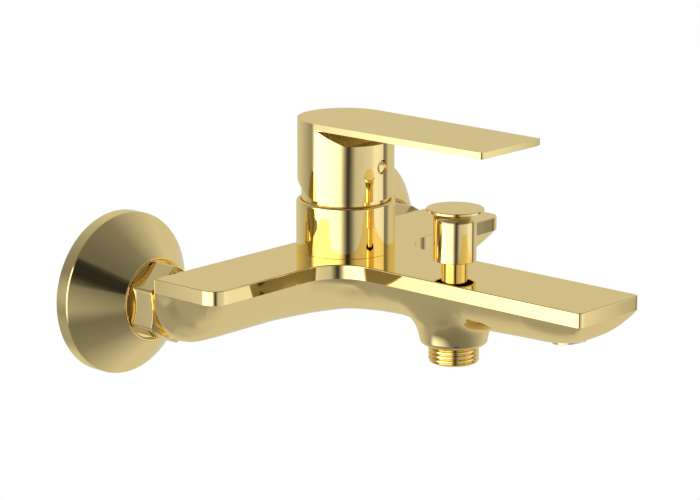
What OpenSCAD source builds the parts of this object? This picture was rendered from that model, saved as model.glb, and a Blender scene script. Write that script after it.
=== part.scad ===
// Wall mounted bath faucet: a single lever mixer with a flat T-shaped deck,
// a pull-up diverter, a shower outlet and two threaded wall connections.
// X runs along the wall, Y into the wall and Z up. The origin lies on the wall
// plane, midway between the two inlets. All lengths are in millimetres.

/* [Wall connections] */
// Distance between the two inlet axes
inlet_spacing = 150; // [146:0.5:160]
// Sideways offset between the two ends of an eccentric union
union_offset = 6; // [0:0.5:8]
// Outer radius of the thread that screws into the wall elbow
wall_thread_r = 10.48; // [9:0.01:10.6]
// Length of that thread
wall_thread_l = 20; // [12:0.5:30]
// Outer radius of the union's front thread
union_thread_r = 13.22; // [12.6:0.01:13.3]
// Bore radius of the union
union_bore_r = 7; // [5:0.1:8]
// Width across flats of the union's spanner collar
union_hex_af = 24; // [22:0.5:26]
// Outer radius of a wall flange
flange_r = 34.5; // [32:0.5:37]
// Height of the flange's straight rim
flange_rim = 6.1; // [4:0.1:7]
// Height of the whole flange
flange_h = 23.2; // [21:0.1:24]
// Radius of the flange's front opening
flange_mouth_r = 16.75; // [16.75:0.05:17.5]
// Wall of the flange
flange_t = 1.9; // [1.2:0.1:2.2]
// Width across flats of a union nut
nut_af = 28.8; // [28.2:0.1:28.8]
// Distance from the wall to the back of a union nut
nut_back = 18; // [17.5:0.1:19]
// Length of a union nut
nut_h = 17; // [16:0.1:17.4]
// Thickness of the nut's front lip
nut_lip = 2.9; // [2.4:0.1:3.5]
// Thickness of the union washer
washer_t = 3; // [2:0.1:3.5]
// Radius of the inlet seat's neck
seat_neck_r = 9.5; // [9.2:0.1:10.2]
// Radius of the inlet seat's bore
seat_bore_r = 6.5; // [5:0.1:7]
// Radius of the inlet bosses on the back of the body
inlet_boss_r = 12; // [11:0.1:13]
// Height of those bosses
inlet_boss_h = 3.2; // [1:0.1:3.6]

/* [Deck and spout] */
// From each inlet axis to the end of the deck
deck_overhang = 17.27; // [15:0.01:20]
// Height of the flat top above the inlet axes
deck_z = 15.08; // [14:0.01:18]
// Height of the deck's straight edge
band_h = 5.99; // [4.5:0.01:6.5]
// From the wall to the back of the deck
deck_back = 39.73; // [39.5:0.01:44]
// Width of the bar from back to front
bar_depth = 34.91; // [33:0.01:38]
// Radius of the bar's front corners
bar_corner_r = 7; // [2:0.1:10]
// Width of the spout
spout_w = 39.26; // [37:0.01:44]
// From the wall to the tip of the spout
spout_reach = 201.75; // [195:0.05:240]
// Radius of the corners at the tip
tip_corner_r = 2; // [1:0.1:5]
// Radius between the bar and the spout
spout_fillet_r = 18; // [12:0.5:24]

/* [Hull under the deck] */
// Depth of the hull under the bar
bar_hull = 23.66; // [22:0.02:26]
// Depth of the hull under the spout
spout_hull = 14.29; // [13.5:0.01:16]
// How far the bar's hull rounds in from the front
front_round = 32.4; // [30:0.1:34]
// How far the bar's hull rounds in from the ends, at the back
end_round = 18.46; // [16:0.02:20]
// How much more it rounds in from the ends, at the front
end_round_gain = 10; // [4:0.5:12]
// How steeply the hull starts at the edge
edge_slope = 2.05; // [1.8:0.05:2.6]
// How steeply the hull starts at the tip
tip_slope = 1.29; // [1.1:0.01:1.6]
// Width of the blend between the hulls of bar and spout
hull_blend = 5.34; // [3:0.02:8]

/* [Shower outlet] */
// Radius of the boss
boss_r = 14.1; // [13:0.1:15]
// From the deck's top to the bottom of the boss
boss_drop = 32.1; // [31:0.1:36]
// Radius of the flare between boss and hull
boss_flare_r = 12.4; // [10:0.1:14]
// Outer radius of the outlet thread
outlet_thread_r = 10.48; // [9.5:0.01:10.6]
// Length of the outlet thread
outlet_thread_l = 6.2; // [5.8:0.1:9]
// Radius of the nipple's upper thread
nipple_top_r = 8.6; // [8.2:0.05:9]
// Bore radius of the nipple
nipple_bore_r = 6.45; // [6.1:0.05:6.8]
// Travel of the check valve
check_lift = 2; // [1:0.1:2.2]

/* [Cartridge] */
// From the wall to the cartridge axis
cartridge_y = 62.43; // [61.5:0.01:64]
// Radius of the cartridge
cartridge_r = 17.5; // [17.3:0.05:17.6]
// Depth of the cartridge's chamber below the deck's top
chamber_drop = 9; // [7:0.1:9.5]
// Height of the cartridge base
base_h = 3.8; // [3.2:0.1:4.4]
// Thickness of each ceramic disc
disc_h = 3.5; // [3:0.1:3.8]
// Radius of the moving disc
moving_disc_r = 11; // [10.5:0.1:11.3]
// Height of the carrier on the moving disc
carrier_h = 5.7; // [5.4:0.1:6]
// Radius of the ball at the spindle's foot
ball_r = 3.2; // [2.8:0.1:3.3]
// Radius of the spindle's lower rod
spindle_rod_r = 2.5; // [2:0.1:2.6]
// Width of the spindle's square head
spindle_w = 8; // [6:0.1:8.4]
// Radius of the pivot pin
pin_r = 1.5; // [1:0.05:1.8]
// Radius of the rotor
rotor_r = 12.4; // [12:0.1:12.8]
// Radius of the inlet ports
port_r = 2.8; // [2:0.1:2.9]
// Angle through which the lever lifts
lever_lift = 25; // [15:1:25]

/* [Collar and cover] */
// Outer radius of the collar
collar_r = 21.02; // [21:0.01:22.5]
// Height of the collar
collar_h = 21.8; // [20.5:0.05:24]
// Radius of the neck under the collar
neck_r = 19.9; // [19.6:0.05:20]
// Thickness of the collar's top lip
collar_lip = 2.4; // [1.5:0.1:3]
// Rounding of the collar's top edge
collar_round = 1.3; // [0.5:0.1:1.4]
// Radius of the domed cover
dome_r = 18.84; // [18.6:0.01:18.9]

/* [Handle] */
// Radius of the handle's round head
head_r = 20.52; // [20.4:0.01:22]
// Gap between the collar and the head
head_gap = 2; // [1.5:0.1:3.5]
// Height of the head
head_h = 32.85; // [31:0.05:38]
// From the wall to the tip of the lever
lever_reach = 151.5; // [130:0.5:180]
// Width of the lever at its tip
lever_tip_w = 38.8; // [30:0.1:42]
// Thickness of the lever's straight edge
lever_edge = 2.4; // [2:0.1:3]
// Height of the bevel below that edge
lever_bevel = 0.45; // [0.2:0.05:0.8]
// Depth of the wedge cut into the front of the head
wedge_h = 5.95; // [4:0.05:7]
// Length of the wedge's sloping part
wedge_l = 12; // [8:0.1:14]
// Rise of the head's lower edge towards the wall
skirt_rise = 0.5; // [0.48:0.01:0.6]
// Radius of the index plug
plug_r = 3; // [2.6:0.1:3.2]
// Depth of the plug's face below the head's surface
plug_recess = 1.2; // [0.2:0.1:1.6]
// Radius of the grub screw
grub_r = 2.5; // [2:0.1:2.5]

/* [Diverter] */
// From the wall to the diverter's axis
diverter_y = 122.45; // [120:0.01:124]
// Lift of the knob
diverter_lift = 8; // [6:0.1:8]
// Radius of the knob's cap
knob_cap_r = 11.95; // [11:0.05:13]
// Radius of the knob's skirt
knob_r = 8.93; // [8.4:0.01:9.4]
// Wall of the knob's skirt
knob_wall = 1; // [0.8:0.1:1.4]
// Gap between deck and knob
knob_gap = 4.8; // [3:0.1:6]
// Height of the knob
knob_h = 22; // [21.5:0.1:26]
// Radius of the guide bush
bush_r = 5.43; // [5.3:0.01:5.6]
// Radius of the diverter rod
rod_r = 2.5; // [2.2:0.05:2.5]
// Radius of the diverter's chamber
diverter_r = 8.5; // [8.2:0.05:9]
// Radius of the valve's seats
seat_r = 5.5; // [5:0.1:5.8]
// Thickness of the two-sided valve
valve_t = 3.6; // [3:0.1:4]

/* [Aerator] */
// From the spout's tip back to the centre of the aerator
aerator_inset = 19.55; // [18:0.05:22]
// Radius of the aerator's visible ring
aerator_r = 7.15; // [6.8:0.05:7.4]
// Radius of the aerator's thread
aerator_thread_r = 8.2; // [7.9:0.05:8.4]
// Forward tilt of the aerator
aerator_tilt = 8.2; // [0:0.1:12]
// Height of the aerator housing
aerator_h = 8.5; // [8:0.1:9]

/* [Hidden] */
$fn = 72;

brass_gold = "#D1BE86";
rubber_black = "#26241F";
ceramic_white = "#E9E6DC";
plastic_grey = "#B9B6AE";
steel = "#C3C4C6";

// Clearances between pieces that fit each other
thread_gap = 0.04;
run_gap = 0.06;
loose_gap = 0.3;
face_gap = 0.05;
cut = 1;

// Deck and hull
bar_half = inlet_spacing / 2 + deck_overhang;
bar_front = deck_back + bar_depth;
spout_half = spout_w / 2;
fillet_x = spout_half + spout_fillet_r;
fillet_y = bar_front + spout_fillet_r;
band_z = deck_z - band_h;
boss_z = deck_z - boss_drop;
hull_inset = 0.2;
hull_overlap = 0.5;
corner_power = 8.9;
side_power = 2.54;
tip_power = 2.84;
tip_span = 32.6;
tip_loss = 5.58;
root_start = 106.7;
root_span = 20;
root_gain = 0.78;
rise_start = 41.75;
rise_span = 26.7;
edge_blend = 1.5;
flare_blend = 3;
front_flare_loss = 1.5;

// Cartridge heights, from the chamber's floor up
floor_z = deck_z - chamber_drop;
seal_gap = 0.2;
base_top = floor_z + seal_gap + base_h;
fixed_top = base_top + disc_h;
moving_z = fixed_top + face_gap;
carrier_z = moving_z + disc_h;
carrier_floor = carrier_z + loose_gap;
carrier_top = carrier_z + carrier_h;
rotor_z = carrier_top + loose_gap;
rotor_flange_h = 1.8;
rotor_flange_top = rotor_z + rotor_flange_h;
collar_top = deck_z + collar_h;
neck_top = collar_top - collar_lip;
shoulder_z = neck_top - 7.5;
skirt_z = collar_top + head_gap;
pivot_z = skirt_z + 1.1;
ball_z = carrier_floor + 0.2 + ball_r;
arm = pivot_z - ball_z;
disc_travel = arm * sin(lever_lift);
disc_rest = disc_travel / 2;
rotor_top = pivot_z + 3.5;
blade_drop = 4;
spindle_head_z = pivot_z
  + (rotor_top - pivot_z + loose_gap + spindle_w / 2 * sin(lever_lift)) / cos(lever_lift);
housing_in_r = cartridge_r - 1.6;
housing_neck_r = rotor_r + 2;
supply_depth = 14.3;
supply_y = deck_back + supply_depth;
supply_z = -2;
supply_r = 4.2;
well_r = 5.5;
well_top = 8;
inlet_thread_l = 9;
port_x = 5.5;
port_y = cartridge_y - 3.9;
outlet_offset = 8.1;
outlet_y = cartridge_y + outlet_offset;
mixed_z = -1.5;
mixed_r = 3;

// Handle
head_top = skirt_z + head_h;
lever_z = head_top - lever_edge;
cavity_r = dome_r + 0.56;
hub_r = 8.5;
hub_rise = 10;
hub_z = pivot_z + hub_rise;
spindle_rise = 20;
spindle_top = pivot_z + spindle_rise;
grub_rise = 3.1;
grub_z = hub_z + grub_rise;
dome_rise = 8.5;
dome_cut_z = pivot_z + dome_rise;
wedge_y = cartridge_y + 1.7;

// Diverter and shower outlet
knob_z = deck_z + knob_gap;
knob_top = knob_z + knob_h;
bush_bottom = deck_z - 6.8;
bush_below = 8.9;
bush_top = knob_top - bush_below;
cavity_z = deck_z + 0.4;
gland_z = bush_top - 2.5;
upper_seat_top = bush_bottom - 5.1;
upper_seat_z = upper_seat_top - 1.6;
valve_z = upper_seat_z - 0.2 - diverter_lift - valve_t;
lower_seat_z = valve_z - face_gap;
lower_seat_t = 1.5;
nipple_top = lower_seat_z - lower_seat_t - 0.1;
thread_neck = 0.9;
nipple_z = boss_z - thread_neck / 9 - outlet_thread_l;
check_top = nipple_top - 0.8;
check_r = nipple_bore_r - face_gap;
check_seat_t = 1;
check_h = 8.2;
spout_port_z = bush_bottom - 3;
spout_port_r = 2.9;

// Aerator
aerator_y = spout_reach - aerator_inset;
aerator_z = band_z - spout_hull + 1.37;
aerator_bore_l = aerator_h + 1.4;

// Wall connections
seat_top = nut_back + nut_h - nut_lip - face_gap;
seat_flare_t = 2.5;
washer_y = seat_top - seat_flare_t - washer_t;
seat_thread_r = seat_neck_r - 0.5;
seat_thread_l = 12;
hex_y = 0.3;
hex_h = 6.2;
hub_y = 8.5;
hub_l = 7;

// ---- small shared shapes ----

module tube(r_out, r_in, z0, z1) {
  translate([0, 0, z0])
    difference() {
      cylinder(r = r_out, h = z1 - z0);
      translate([0, 0, -cut]) cylinder(r = r_in, h = z1 - z0 + 2 * cut);
    }
}

module rod(r, z0, z1) {
  translate([0, 0, z0]) cylinder(r = r, h = z1 - z0);
}

// A rod along Y, from y0 to y1 measured out from the wall
module rod_y(r, y0, y1) {
  rotate([90, 0, 0]) rod(r, y0, y1);
}

module hexagon(af, z0, z1) {
  translate([0, 0, z0]) rotate([0, 0, 30]) cylinder(r = af / 2 / cos(30), h = z1 - z0, $fn = 6);
}

// Local Z points from the wall towards the user
module at_inlet(side) {
  translate([side * inlet_spacing / 2, 0, 0]) rotate([90, 0, 0]) children();
}

module at_cartridge() {
  translate([0, -cartridge_y, 0]) children();
}

module at_diverter() {
  translate([0, -diverter_y, 0]) children();
}

// Local -Z points out of the aerator
module at_aerator() {
  translate([0, -aerator_y, aerator_z]) rotate([-aerator_tilt, 0, 0]) children();
}

// ---- the hull under the deck, as a depth over the deck's outline ----

function blend_max(a, b, k) = max(a, b) + pow(max(k - abs(a - b), 0), 2) / (4 * k);
function blend_min(a, b, k) = -blend_max(-a, -b, k);
function limit(v, lo, hi) = min(max(v, lo), hi);

// Distance inside a corner of radius r, from the distances to its two edges
function in_corner(dx, dy, r) = dx < r && dy < r ? r - norm([r - dx, r - dy]) : min(dx, dy);

// Distance inside the T-shaped outline, with x and y positive
function in_outline(x, y) =
  x < fillet_x && y < fillet_y ? norm([fillet_x - x, fillet_y - y]) - spout_fillet_r
  : y >= fillet_y ? in_corner(spout_half - x, spout_reach - y, tip_corner_r)
  : in_corner(bar_half - x, bar_front - y, bar_corner_r);

// How far y is along the bar's rounded front, from 0 to 1
function front_part(y) = max(y - bar_front + front_round, 0) / front_round;

// How far x is along the bar's rounded end, from 0 to 1
function end_part(x, t) =
  let (width = end_round + end_round_gain * min(t, 1))
  max(x - bar_half + width, 0) / width;

function bar_depth_at(s, t) =
  let (rho = pow(pow(s, corner_power) + pow(t, corner_power), 1 / corner_power),
       sharp = 1 + pow(s / max(rho, 0.001), 4) * limit(1 - 4 * t, 0, 1))
  rho < 1 ? bar_hull * pow(1 - rho * rho, 1 / sharp) : bar_hull * (1 - rho * rho);

function spout_depth_at(x, y) =
  let (tip = limit((y - spout_reach + tip_span) / tip_span, 0, 1),
       root = limit((spout_reach - root_start - y) / root_span, 0, 2),
       rise = (y - spout_reach + rise_start) / rise_span,
       keel = spout_hull - rise + root_gain * root * root - tip_loss * tip * tip)
  keel * (1 - pow(x / spout_half, side_power + tip_power * tip));

// Depth of the flare round the shower boss, weaker towards the tip
function flare_depth_at(x, y) =
  let (r = norm([x, y - diverter_y]),
       foot = band_z - boss_z - 2,
       reach = boss_r + boss_flare_r,
       inside = foot - sqrt(max(pow(boss_flare_r, 2) - pow(reach - r, 2), 0)),
       outside = foot - boss_flare_r - 0.8 * (r - reach),
       ahead = limit((y - diverter_y) / max(r, 0.001), 0, 1))
  (r < boss_r ? foot : r < reach ? inside : outside)
  - front_flare_loss * ahead * ahead * max(r - boss_r, 0);

function hull_depth(x, y) =
  let (t = front_part(y),
       s = end_part(x, t),
       bar = bar_depth_at(s, t),
       spout = spout_depth_at(x, y),
       joined = blend_max(bar, spout, hull_blend),
       flared = blend_max(joined, flare_depth_at(x, y), flare_blend),
       tipped = blend_min(flared, tip_slope * (spout_reach - y), edge_blend),
       steep = edge_slope + 14 * min(s, 1) * pow(limit(1 - t, 0, 1), 2))
  max(blend_min(tipped, steep * in_outline(x, y), edge_blend), 0);

// The hull's mesh: columns across the deck, rows from the back to the front
spout_cols = 8;
fillet_cols = 4;
middle_cols = 3;
end_cols = 8;
bar_rows = 12;
spout_rows = 34;

half_columns = concat(
  [for (i = [0:spout_cols]) (spout_half - hull_inset) * sin(90 * i / spout_cols)],
  [for (i = [1:fillet_cols]) spout_half + spout_fillet_r * i / fillet_cols],
  [for (i = [1:middle_cols]) fillet_x + (bar_half - end_round - fillet_x) * i / middle_cols],
  [for (i = [1:end_cols]) bar_half - end_round + (end_round - hull_inset) * sin(90 * i / end_cols)]
);
half_count = len(half_columns);
columns = concat(
  [for (i = [half_count - 1:-1:1]) -half_columns[i]],
  half_columns
);
last_col = len(columns) - 1;
middle_col = half_count - 1;

function in_spout(i) = abs(i - middle_col) <= spout_cols;
function rows_of(i) = in_spout(i) ? bar_rows + spout_rows : bar_rows;
function front_of(x) =
  x < spout_half ? fillet_y
  : x < fillet_x ? fillet_y - sqrt(pow(spout_fillet_r, 2) - pow(fillet_x - x, 2)) - hull_inset
  : x < bar_half - bar_corner_r ? bar_front - hull_inset
  : bar_front - bar_corner_r - hull_inset
    + sqrt(max(pow(bar_corner_r, 2) - pow(x - bar_half + bar_corner_r, 2), 0));
function row_y(i, j) =
  let (front = front_of(abs(columns[i])))
  j <= bar_rows
  ? deck_back + hull_inset + (front - deck_back - hull_inset) * sin(90 * j / bar_rows)
  : spout_reach - hull_inset
    - (spout_reach - hull_inset - front) * pow(1 - (j - bar_rows) / spout_rows, 1.35);

starts = [for (i = 0, n = 0; i <= last_col; n = n + rows_of(i) + 1, i = i + 1) n];
mesh_count = starts[last_col] + rows_of(last_col) + 1;
function low(i, j) = starts[i] + j;
function high(i, j) = mesh_count + starts[i] + j;
function wall(a, b, c, d) = [[a, b, d], [a, d, c]];

module hull_mesh() {
  plan = [for (i = [0:last_col]) for (j = [0:rows_of(i)]) [columns[i], row_y(i, j)]];
  points = concat(
    [for (p = plan) [p[0], -p[1], band_z - hull_depth(abs(p[0]), p[1])]],
    [for (p = plan) [p[0], -p[1], band_z + hull_overlap]]
  );
  skins = [
    for (i = [0:last_col - 1])
      for (j = [0:min(rows_of(i), rows_of(i + 1)) - 1])
        for (face = [
          [high(i, j), high(i + 1, j), high(i + 1, j + 1)],
          [high(i, j), high(i + 1, j + 1), high(i, j + 1)],
          [low(i, j), low(i + 1, j + 1), low(i + 1, j)],
          [low(i, j), low(i, j + 1), low(i + 1, j + 1)]
        ]) face
  ];
  back = [
    for (i = [0:last_col - 1])
      for (face = wall(high(i + 1, 0), high(i, 0), low(i + 1, 0), low(i, 0))) face
  ];
  front = [
    for (i = [0:last_col - 1])
      let (j = min(rows_of(i), rows_of(i + 1)))
        for (face = wall(high(i, j), high(i + 1, j), low(i, j), low(i + 1, j))) face
  ];
  left_columns = [[0, 0], [middle_col - spout_cols, bar_rows]];
  left = [
    for (c = left_columns)
      for (j = [c[1]:rows_of(c[0]) - 1])
        for (face = wall(high(c[0], j), high(c[0], j + 1), low(c[0], j), low(c[0], j + 1))) face
  ];
  right_columns = [[last_col, 0], [middle_col + spout_cols, bar_rows]];
  right = [
    for (c = right_columns)
      for (j = [c[1]:rows_of(c[0]) - 1])
        for (face = wall(high(c[0], j + 1), high(c[0], j), low(c[0], j + 1), low(c[0], j))) face
  ];
  polyhedron(points = points, faces = concat(skins, back, front, left, right), convexity = 6);
}

// ---- body ----

module corner_cutter(x, y, sx, r) {
  translate([x, y])
    difference() {
      translate([sx > 0 ? -r : -cut, -cut]) square([r + cut, r + cut]);
      translate([-sx * r, r]) circle(r);
    }
}

module deck_outline() {
  difference() {
    union() {
      translate([-bar_half, -bar_front]) square([2 * bar_half, bar_depth]);
      translate([-spout_half, -spout_reach]) square([spout_w, spout_reach - deck_back - cut]);
      translate([-fillet_x, -fillet_y]) square([2 * fillet_x, spout_fillet_r + cut]);
    }
    for (side = [-1, 1]) {
      translate([side * fillet_x, -fillet_y]) circle(spout_fillet_r);
      corner_cutter(side * bar_half, -bar_front, side, bar_corner_r);
      corner_cutter(side * spout_half, -spout_reach, side, tip_corner_r);
    }
  }
}

module shower_boss() {
  round_r = 2.2;
  at_diverter()
    rotate_extrude()
      union() {
        translate([0, boss_z + round_r]) square([boss_r, band_z - boss_z - round_r + hull_overlap]);
        translate([0, boss_z]) square([boss_r - round_r, round_r + cut]);
        intersection() {
          translate([boss_r - round_r, boss_z + round_r]) circle(round_r, $fn = 32);
          translate([0, boss_z]) square([boss_r, round_r]);
        }
      }
}

module waterways() {
  for (side = [-1, 1]) {
    at_inlet(side) {
      rod(seat_thread_r + thread_gap, deck_back - inlet_boss_h - cut, deck_back + inlet_thread_l);
      rod(well_r, deck_back + well_top, supply_y + supply_r);
    }
    translate([0, -supply_y, supply_z])
      rotate([0, side * 90, 0])
        rod(supply_r, port_x - 2, inlet_spacing / 2 + supply_r);
    translate([side * port_x, -port_y, 0]) rod(port_r, supply_z, floor_z + cut);
  }
  translate([0, -outlet_y, 0]) rod(mixed_r, mixed_z - mixed_r, floor_z + cut);
  translate([0, 0, mixed_z]) rod_y(mixed_r, outlet_y - 1, diverter_y - diverter_r + 2);
  translate([0, 0, spout_port_z]) rod_y(spout_port_r, diverter_y, aerator_y + 2);
}

module body_casting() {
  color(brass_gold)
    difference() {
      union() {
        translate([0, 0, band_z]) linear_extrude(band_h) deck_outline();
        hull_mesh();
        shower_boss();
        at_cartridge() rod(neck_r, deck_z - cut, neck_top);
        for (side = [-1, 1]) {
          at_inlet(side) rod(inlet_boss_r, deck_back - inlet_boss_h, deck_back + 2);
        }
      }
      at_cartridge() {
        rod(cartridge_r + face_gap, floor_z, neck_top + cut);
        rod(cartridge_r + 0.95, shoulder_z, neck_top + cut);
      }
      at_diverter() {
        rod(nipple_top_r + thread_gap, boss_z - cut, nipple_top);
        rod(seat_r, nipple_top - cut, lower_seat_z + cut);
        rod(diverter_r, lower_seat_z, upper_seat_top);
        rod(diverter_r - 0.9, upper_seat_top - cut, bush_bottom);
        rod(bush_r + thread_gap, bush_bottom - cut, deck_z + cut);
      }
      at_aerator() rod(aerator_thread_r + thread_gap, -aerator_h, aerator_bore_l);
      waterways();
    }
}

// ---- collar, cover and handle ----

module collar() {
  color(brass_gold)
    at_cartridge()
      rotate_extrude()
        difference() {
          union() {
            translate([neck_r + face_gap, deck_z])
              square([collar_r - neck_r - face_gap, collar_h - collar_round]);
            translate([dome_r + 0.35, neck_top + face_gap])
              square([collar_r - collar_round - dome_r - 0.35, collar_lip - face_gap]);
            translate([collar_r - collar_round, collar_top - collar_round])
              circle(collar_round, $fn = 40);
          }
          translate([0, deck_z]) square([neck_r + face_gap, neck_top + face_gap - deck_z]);
          translate([0, deck_z]) square([dome_r + 0.35, collar_h + cut]);
        }
}

nut_top_r = dome_r - 1.84;

module cartridge_cover() {
  color(brass_gold)
    at_cartridge()
      difference() {
        union() {
          rod(dome_r, neck_top + face_gap, pivot_z);
          translate([0, 0, pivot_z]) sphere(dome_r);
        }
        rod(nut_top_r + thread_gap, neck_top - cut, pivot_z - 1.4);
        translate([0, 0, pivot_z]) sphere(dome_r - 1.3);
        rod(dome_r + cut, dome_cut_z, pivot_z + 2 * dome_r);
        rod(dome_r + cut, pivot_z - 2 * dome_r, neck_top + face_gap);
      }
}

module lever_outline(inset) {
  root_r = head_r - inset;
  tip_half = lever_tip_w / 2 - inset;
  tip_y = lever_reach - inset;
  corner = 1.8;
  hull_x = tip_half - corner;
  translate([0, -cartridge_y]) circle(root_r);
  polygon([
    [-root_r, -cartridge_y],
    [-tip_half, -tip_y + corner],
    for (a = [180:15:270]) [-hull_x + corner * cos(a), -tip_y + corner + corner * sin(a)],
    for (a = [270:15:360]) [hull_x + corner * cos(a), -tip_y + corner + corner * sin(a)],
    [tip_half, -tip_y + corner],
    [root_r, -cartridge_y]
  ]);
}

module wedge_cut() {
  low_z = lever_z - lever_bevel - wedge_h;
  rotate([90, 0, 90])
    translate([0, 0, -2 * head_r])
      linear_extrude(4 * head_r)
        polygon([
          [-wedge_y, lever_z - lever_bevel],
          [-wedge_y - wedge_l, low_z],
          [-cartridge_y - 2 * head_r, low_z],
          [-cartridge_y - 2 * head_r, lever_z - lever_bevel]
        ]);
}

module skirt_cut() {
  reach = 2 * head_r;
  rotate([90, 0, 90])
    translate([0, 0, -reach])
      linear_extrude(2 * reach)
        polygon([
          [-cartridge_y, skirt_z - cut],
          [-cartridge_y, skirt_z],
          [-cartridge_y + reach, skirt_z + skirt_rise * reach],
          [-cartridge_y + reach, skirt_z - cut]
        ]);
}

module handle_lever() {
  socket = spindle_w + 2 * face_gap;
  plug_depth = 3.5;
  color(brass_gold) {
    difference() {
      union() {
        difference() {
          at_cartridge() rod(head_r, skirt_z, head_top - cut);
          wedge_cut();
        }
        translate([0, 0, lever_z]) linear_extrude(lever_edge) lever_outline(0);
        translate([0, 0, lever_z - lever_bevel])
          linear_extrude(lever_bevel + cut / 2) lever_outline(lever_bevel);
      }
      at_cartridge() {
        difference() {
          union() {
            rod(cavity_r, skirt_z - cut, pivot_z);
            translate([0, 0, pivot_z]) sphere(cavity_r);
          }
          rod(hub_r, hub_z, pivot_z + cavity_r + cut);
        }
        translate([-socket / 2, -socket / 2, hub_z - cut])
          cube([socket, socket, spindle_top - hub_z + cut + face_gap]);
        translate([0, 0, grub_z]) {
          rod_y(plug_r + face_gap, head_r - plug_depth, head_r + cut);
          rod_y(grub_r + thread_gap, 0, head_r);
        }
      }
      skirt_cut();
    }
  }
}

module index_plug() {
  color(brass_gold)
    at_cartridge()
      translate([0, 0, grub_z]) rod_y(plug_r, head_r - 3.4, head_r - plug_recess);
}

module handle_grub_screw() {
  key_af = 2.5;
  back = spindle_w / 2 + face_gap;
  front = head_r - 3.6;
  color(steel)
    at_cartridge()
      translate([0, 0, grub_z])
        rotate([90, 0, 0])
          difference() {
            rod(grub_r, back, front);
            hexagon(key_af, front - 3, front + cut);
          }
}

// ---- cartridge ----

module cartridge_base() {
  color(plastic_grey)
    difference() {
      at_cartridge() rod(cartridge_r, floor_z + seal_gap, base_top);
      for (x = [-port_x, port_x]) {
        translate([x, -port_y, 0]) rod(port_r, floor_z, base_top + cut);
        translate([x, -port_y, 0]) rod(port_r + 1.3, floor_z, floor_z + seal_gap + 1.3);
      }
      translate([0, -outlet_y, 0]) rod(mixed_r, floor_z, base_top + cut);
      translate([0, -outlet_y, 0]) rod(mixed_r + 1.3, floor_z, floor_z + seal_gap + 1.3);
    }
}

module cartridge_seals() {
  seal_top = floor_z + seal_gap + 1.25;
  color(rubber_black) {
    for (x = [-port_x, port_x]) {
      translate([x, -port_y, 0]) tube(port_r + 1.2, port_r + 0.1, floor_z, seal_top);
    }
    translate([0, -outlet_y, 0]) tube(mixed_r + 1.2, mixed_r + 0.1, floor_z, seal_top);
  }
}

module fixed_disc() {
  color(ceramic_white)
    difference() {
      at_cartridge() rod(housing_in_r - 1.4, base_top, fixed_top);
      for (x = [-port_x, port_x]) {
        translate([x, -port_y, 0]) rod(port_r, base_top - cut, fixed_top + cut);
      }
      translate([0, -outlet_y, 0]) rod(mixed_r, base_top - cut, fixed_top + cut);
    }
}

module at_moving_disc() {
  translate([0, -cartridge_y + disc_rest, 0]) children();
}

module moving_disc() {
  color(ceramic_white)
    at_moving_disc()
      difference() {
        rod(moving_disc_r, moving_z, carrier_z);
        rod(moving_disc_r - 2.7, moving_z - cut, moving_z + disc_h / 2);
      }
}

module disc_carrier() {
  slot = 2 * (ball_r + 0.2);
  color(plastic_grey)
    at_moving_disc()
      difference() {
        rod(moving_disc_r - 1, carrier_z, carrier_top);
        translate([-slot / 2, -disc_rest - slot / 2, carrier_floor])
          cube([slot, slot, carrier_h + cut]);
      }
}

module cartridge_housing() {
  roof = rotor_flange_top + 0.1;
  color(plastic_grey)
    at_cartridge()
      difference() {
        union() {
          rod(cartridge_r, base_top, shoulder_z);
          rod(housing_neck_r, base_top, neck_top + 1.5);
        }
        rod(housing_in_r, base_top - cut, roof);
        rod(rotor_r + run_gap, base_top, neck_top + 3);
      }
}

module cartridge_rotor() {
  rod_back = spindle_rod_r + 0.7;
  foot_swing = disc_travel + ball_r + loose_gap;
  slot_x = spindle_rod_r + 0.9;
  half_depth = spindle_w / 2 * cos(lever_lift) + loose_gap;
  slot_front = half_depth + blade_drop * sin(lever_lift);
  slot_back = half_depth + (spindle_head_z - pivot_z) * sin(lever_lift);
  slot_drop = blade_drop * cos(lever_lift) + spindle_w / 2 * sin(lever_lift) + loose_gap;
  color(plastic_grey)
    at_cartridge()
      difference() {
        union() {
          rod(housing_in_r - 0.4, rotor_z, rotor_flange_top);
          rod(rotor_r, rotor_z, rotor_top);
        }
        translate([-slot_x, -foot_swing, rotor_z - cut])
          cube([2 * slot_x, foot_swing + rod_back, pivot_z - rotor_z + cut]);
        translate([-slot_x, -slot_front, pivot_z - slot_drop])
          cube([2 * slot_x, slot_front + slot_back, rotor_top - pivot_z + slot_drop + cut]);
        translate([0, 0, pivot_z]) rotate([0, 90, 0]) rod(pin_r + 0.02, -rotor_r - cut, rotor_r + cut);
      }
}

module pivot_pin() {
  color(steel)
    at_cartridge() translate([0, 0, pivot_z]) rotate([0, 90, 0]) rod(pin_r, -rotor_r + 0.4, rotor_r - 0.4);
}

module cartridge_spindle() {
  half = spindle_w / 2;
  blade = spindle_rod_r + 0.5;
  color(steel)
    at_cartridge()
      difference() {
        union() {
          translate([0, 0, ball_z]) sphere(ball_r);
          rod(spindle_rod_r, ball_z, pivot_z);
          translate([-blade, -half, pivot_z - blade_drop])
            cube([2 * blade, 2 * half, spindle_head_z - pivot_z + blade_drop + cut]);
          translate([-half, -half, spindle_head_z])
            cube([2 * half, 2 * half, spindle_top - spindle_head_z]);
        }
        translate([0, 0, pivot_z]) rotate([0, 90, 0]) rod(pin_r + run_gap, -spindle_w, spindle_w);
      }
}

module cartridge_nut() {
  color(brass_gold)
    at_cartridge()
      difference() {
        union() {
          rod(cartridge_r + 0.9, shoulder_z, neck_top - 0.1);
          rod(nut_top_r, neck_top - cut, pivot_z - 1.6);
        }
        rod(housing_neck_r + 0.2, shoulder_z - cut, pivot_z);
      }
}

// ---- wall connections ----

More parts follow.
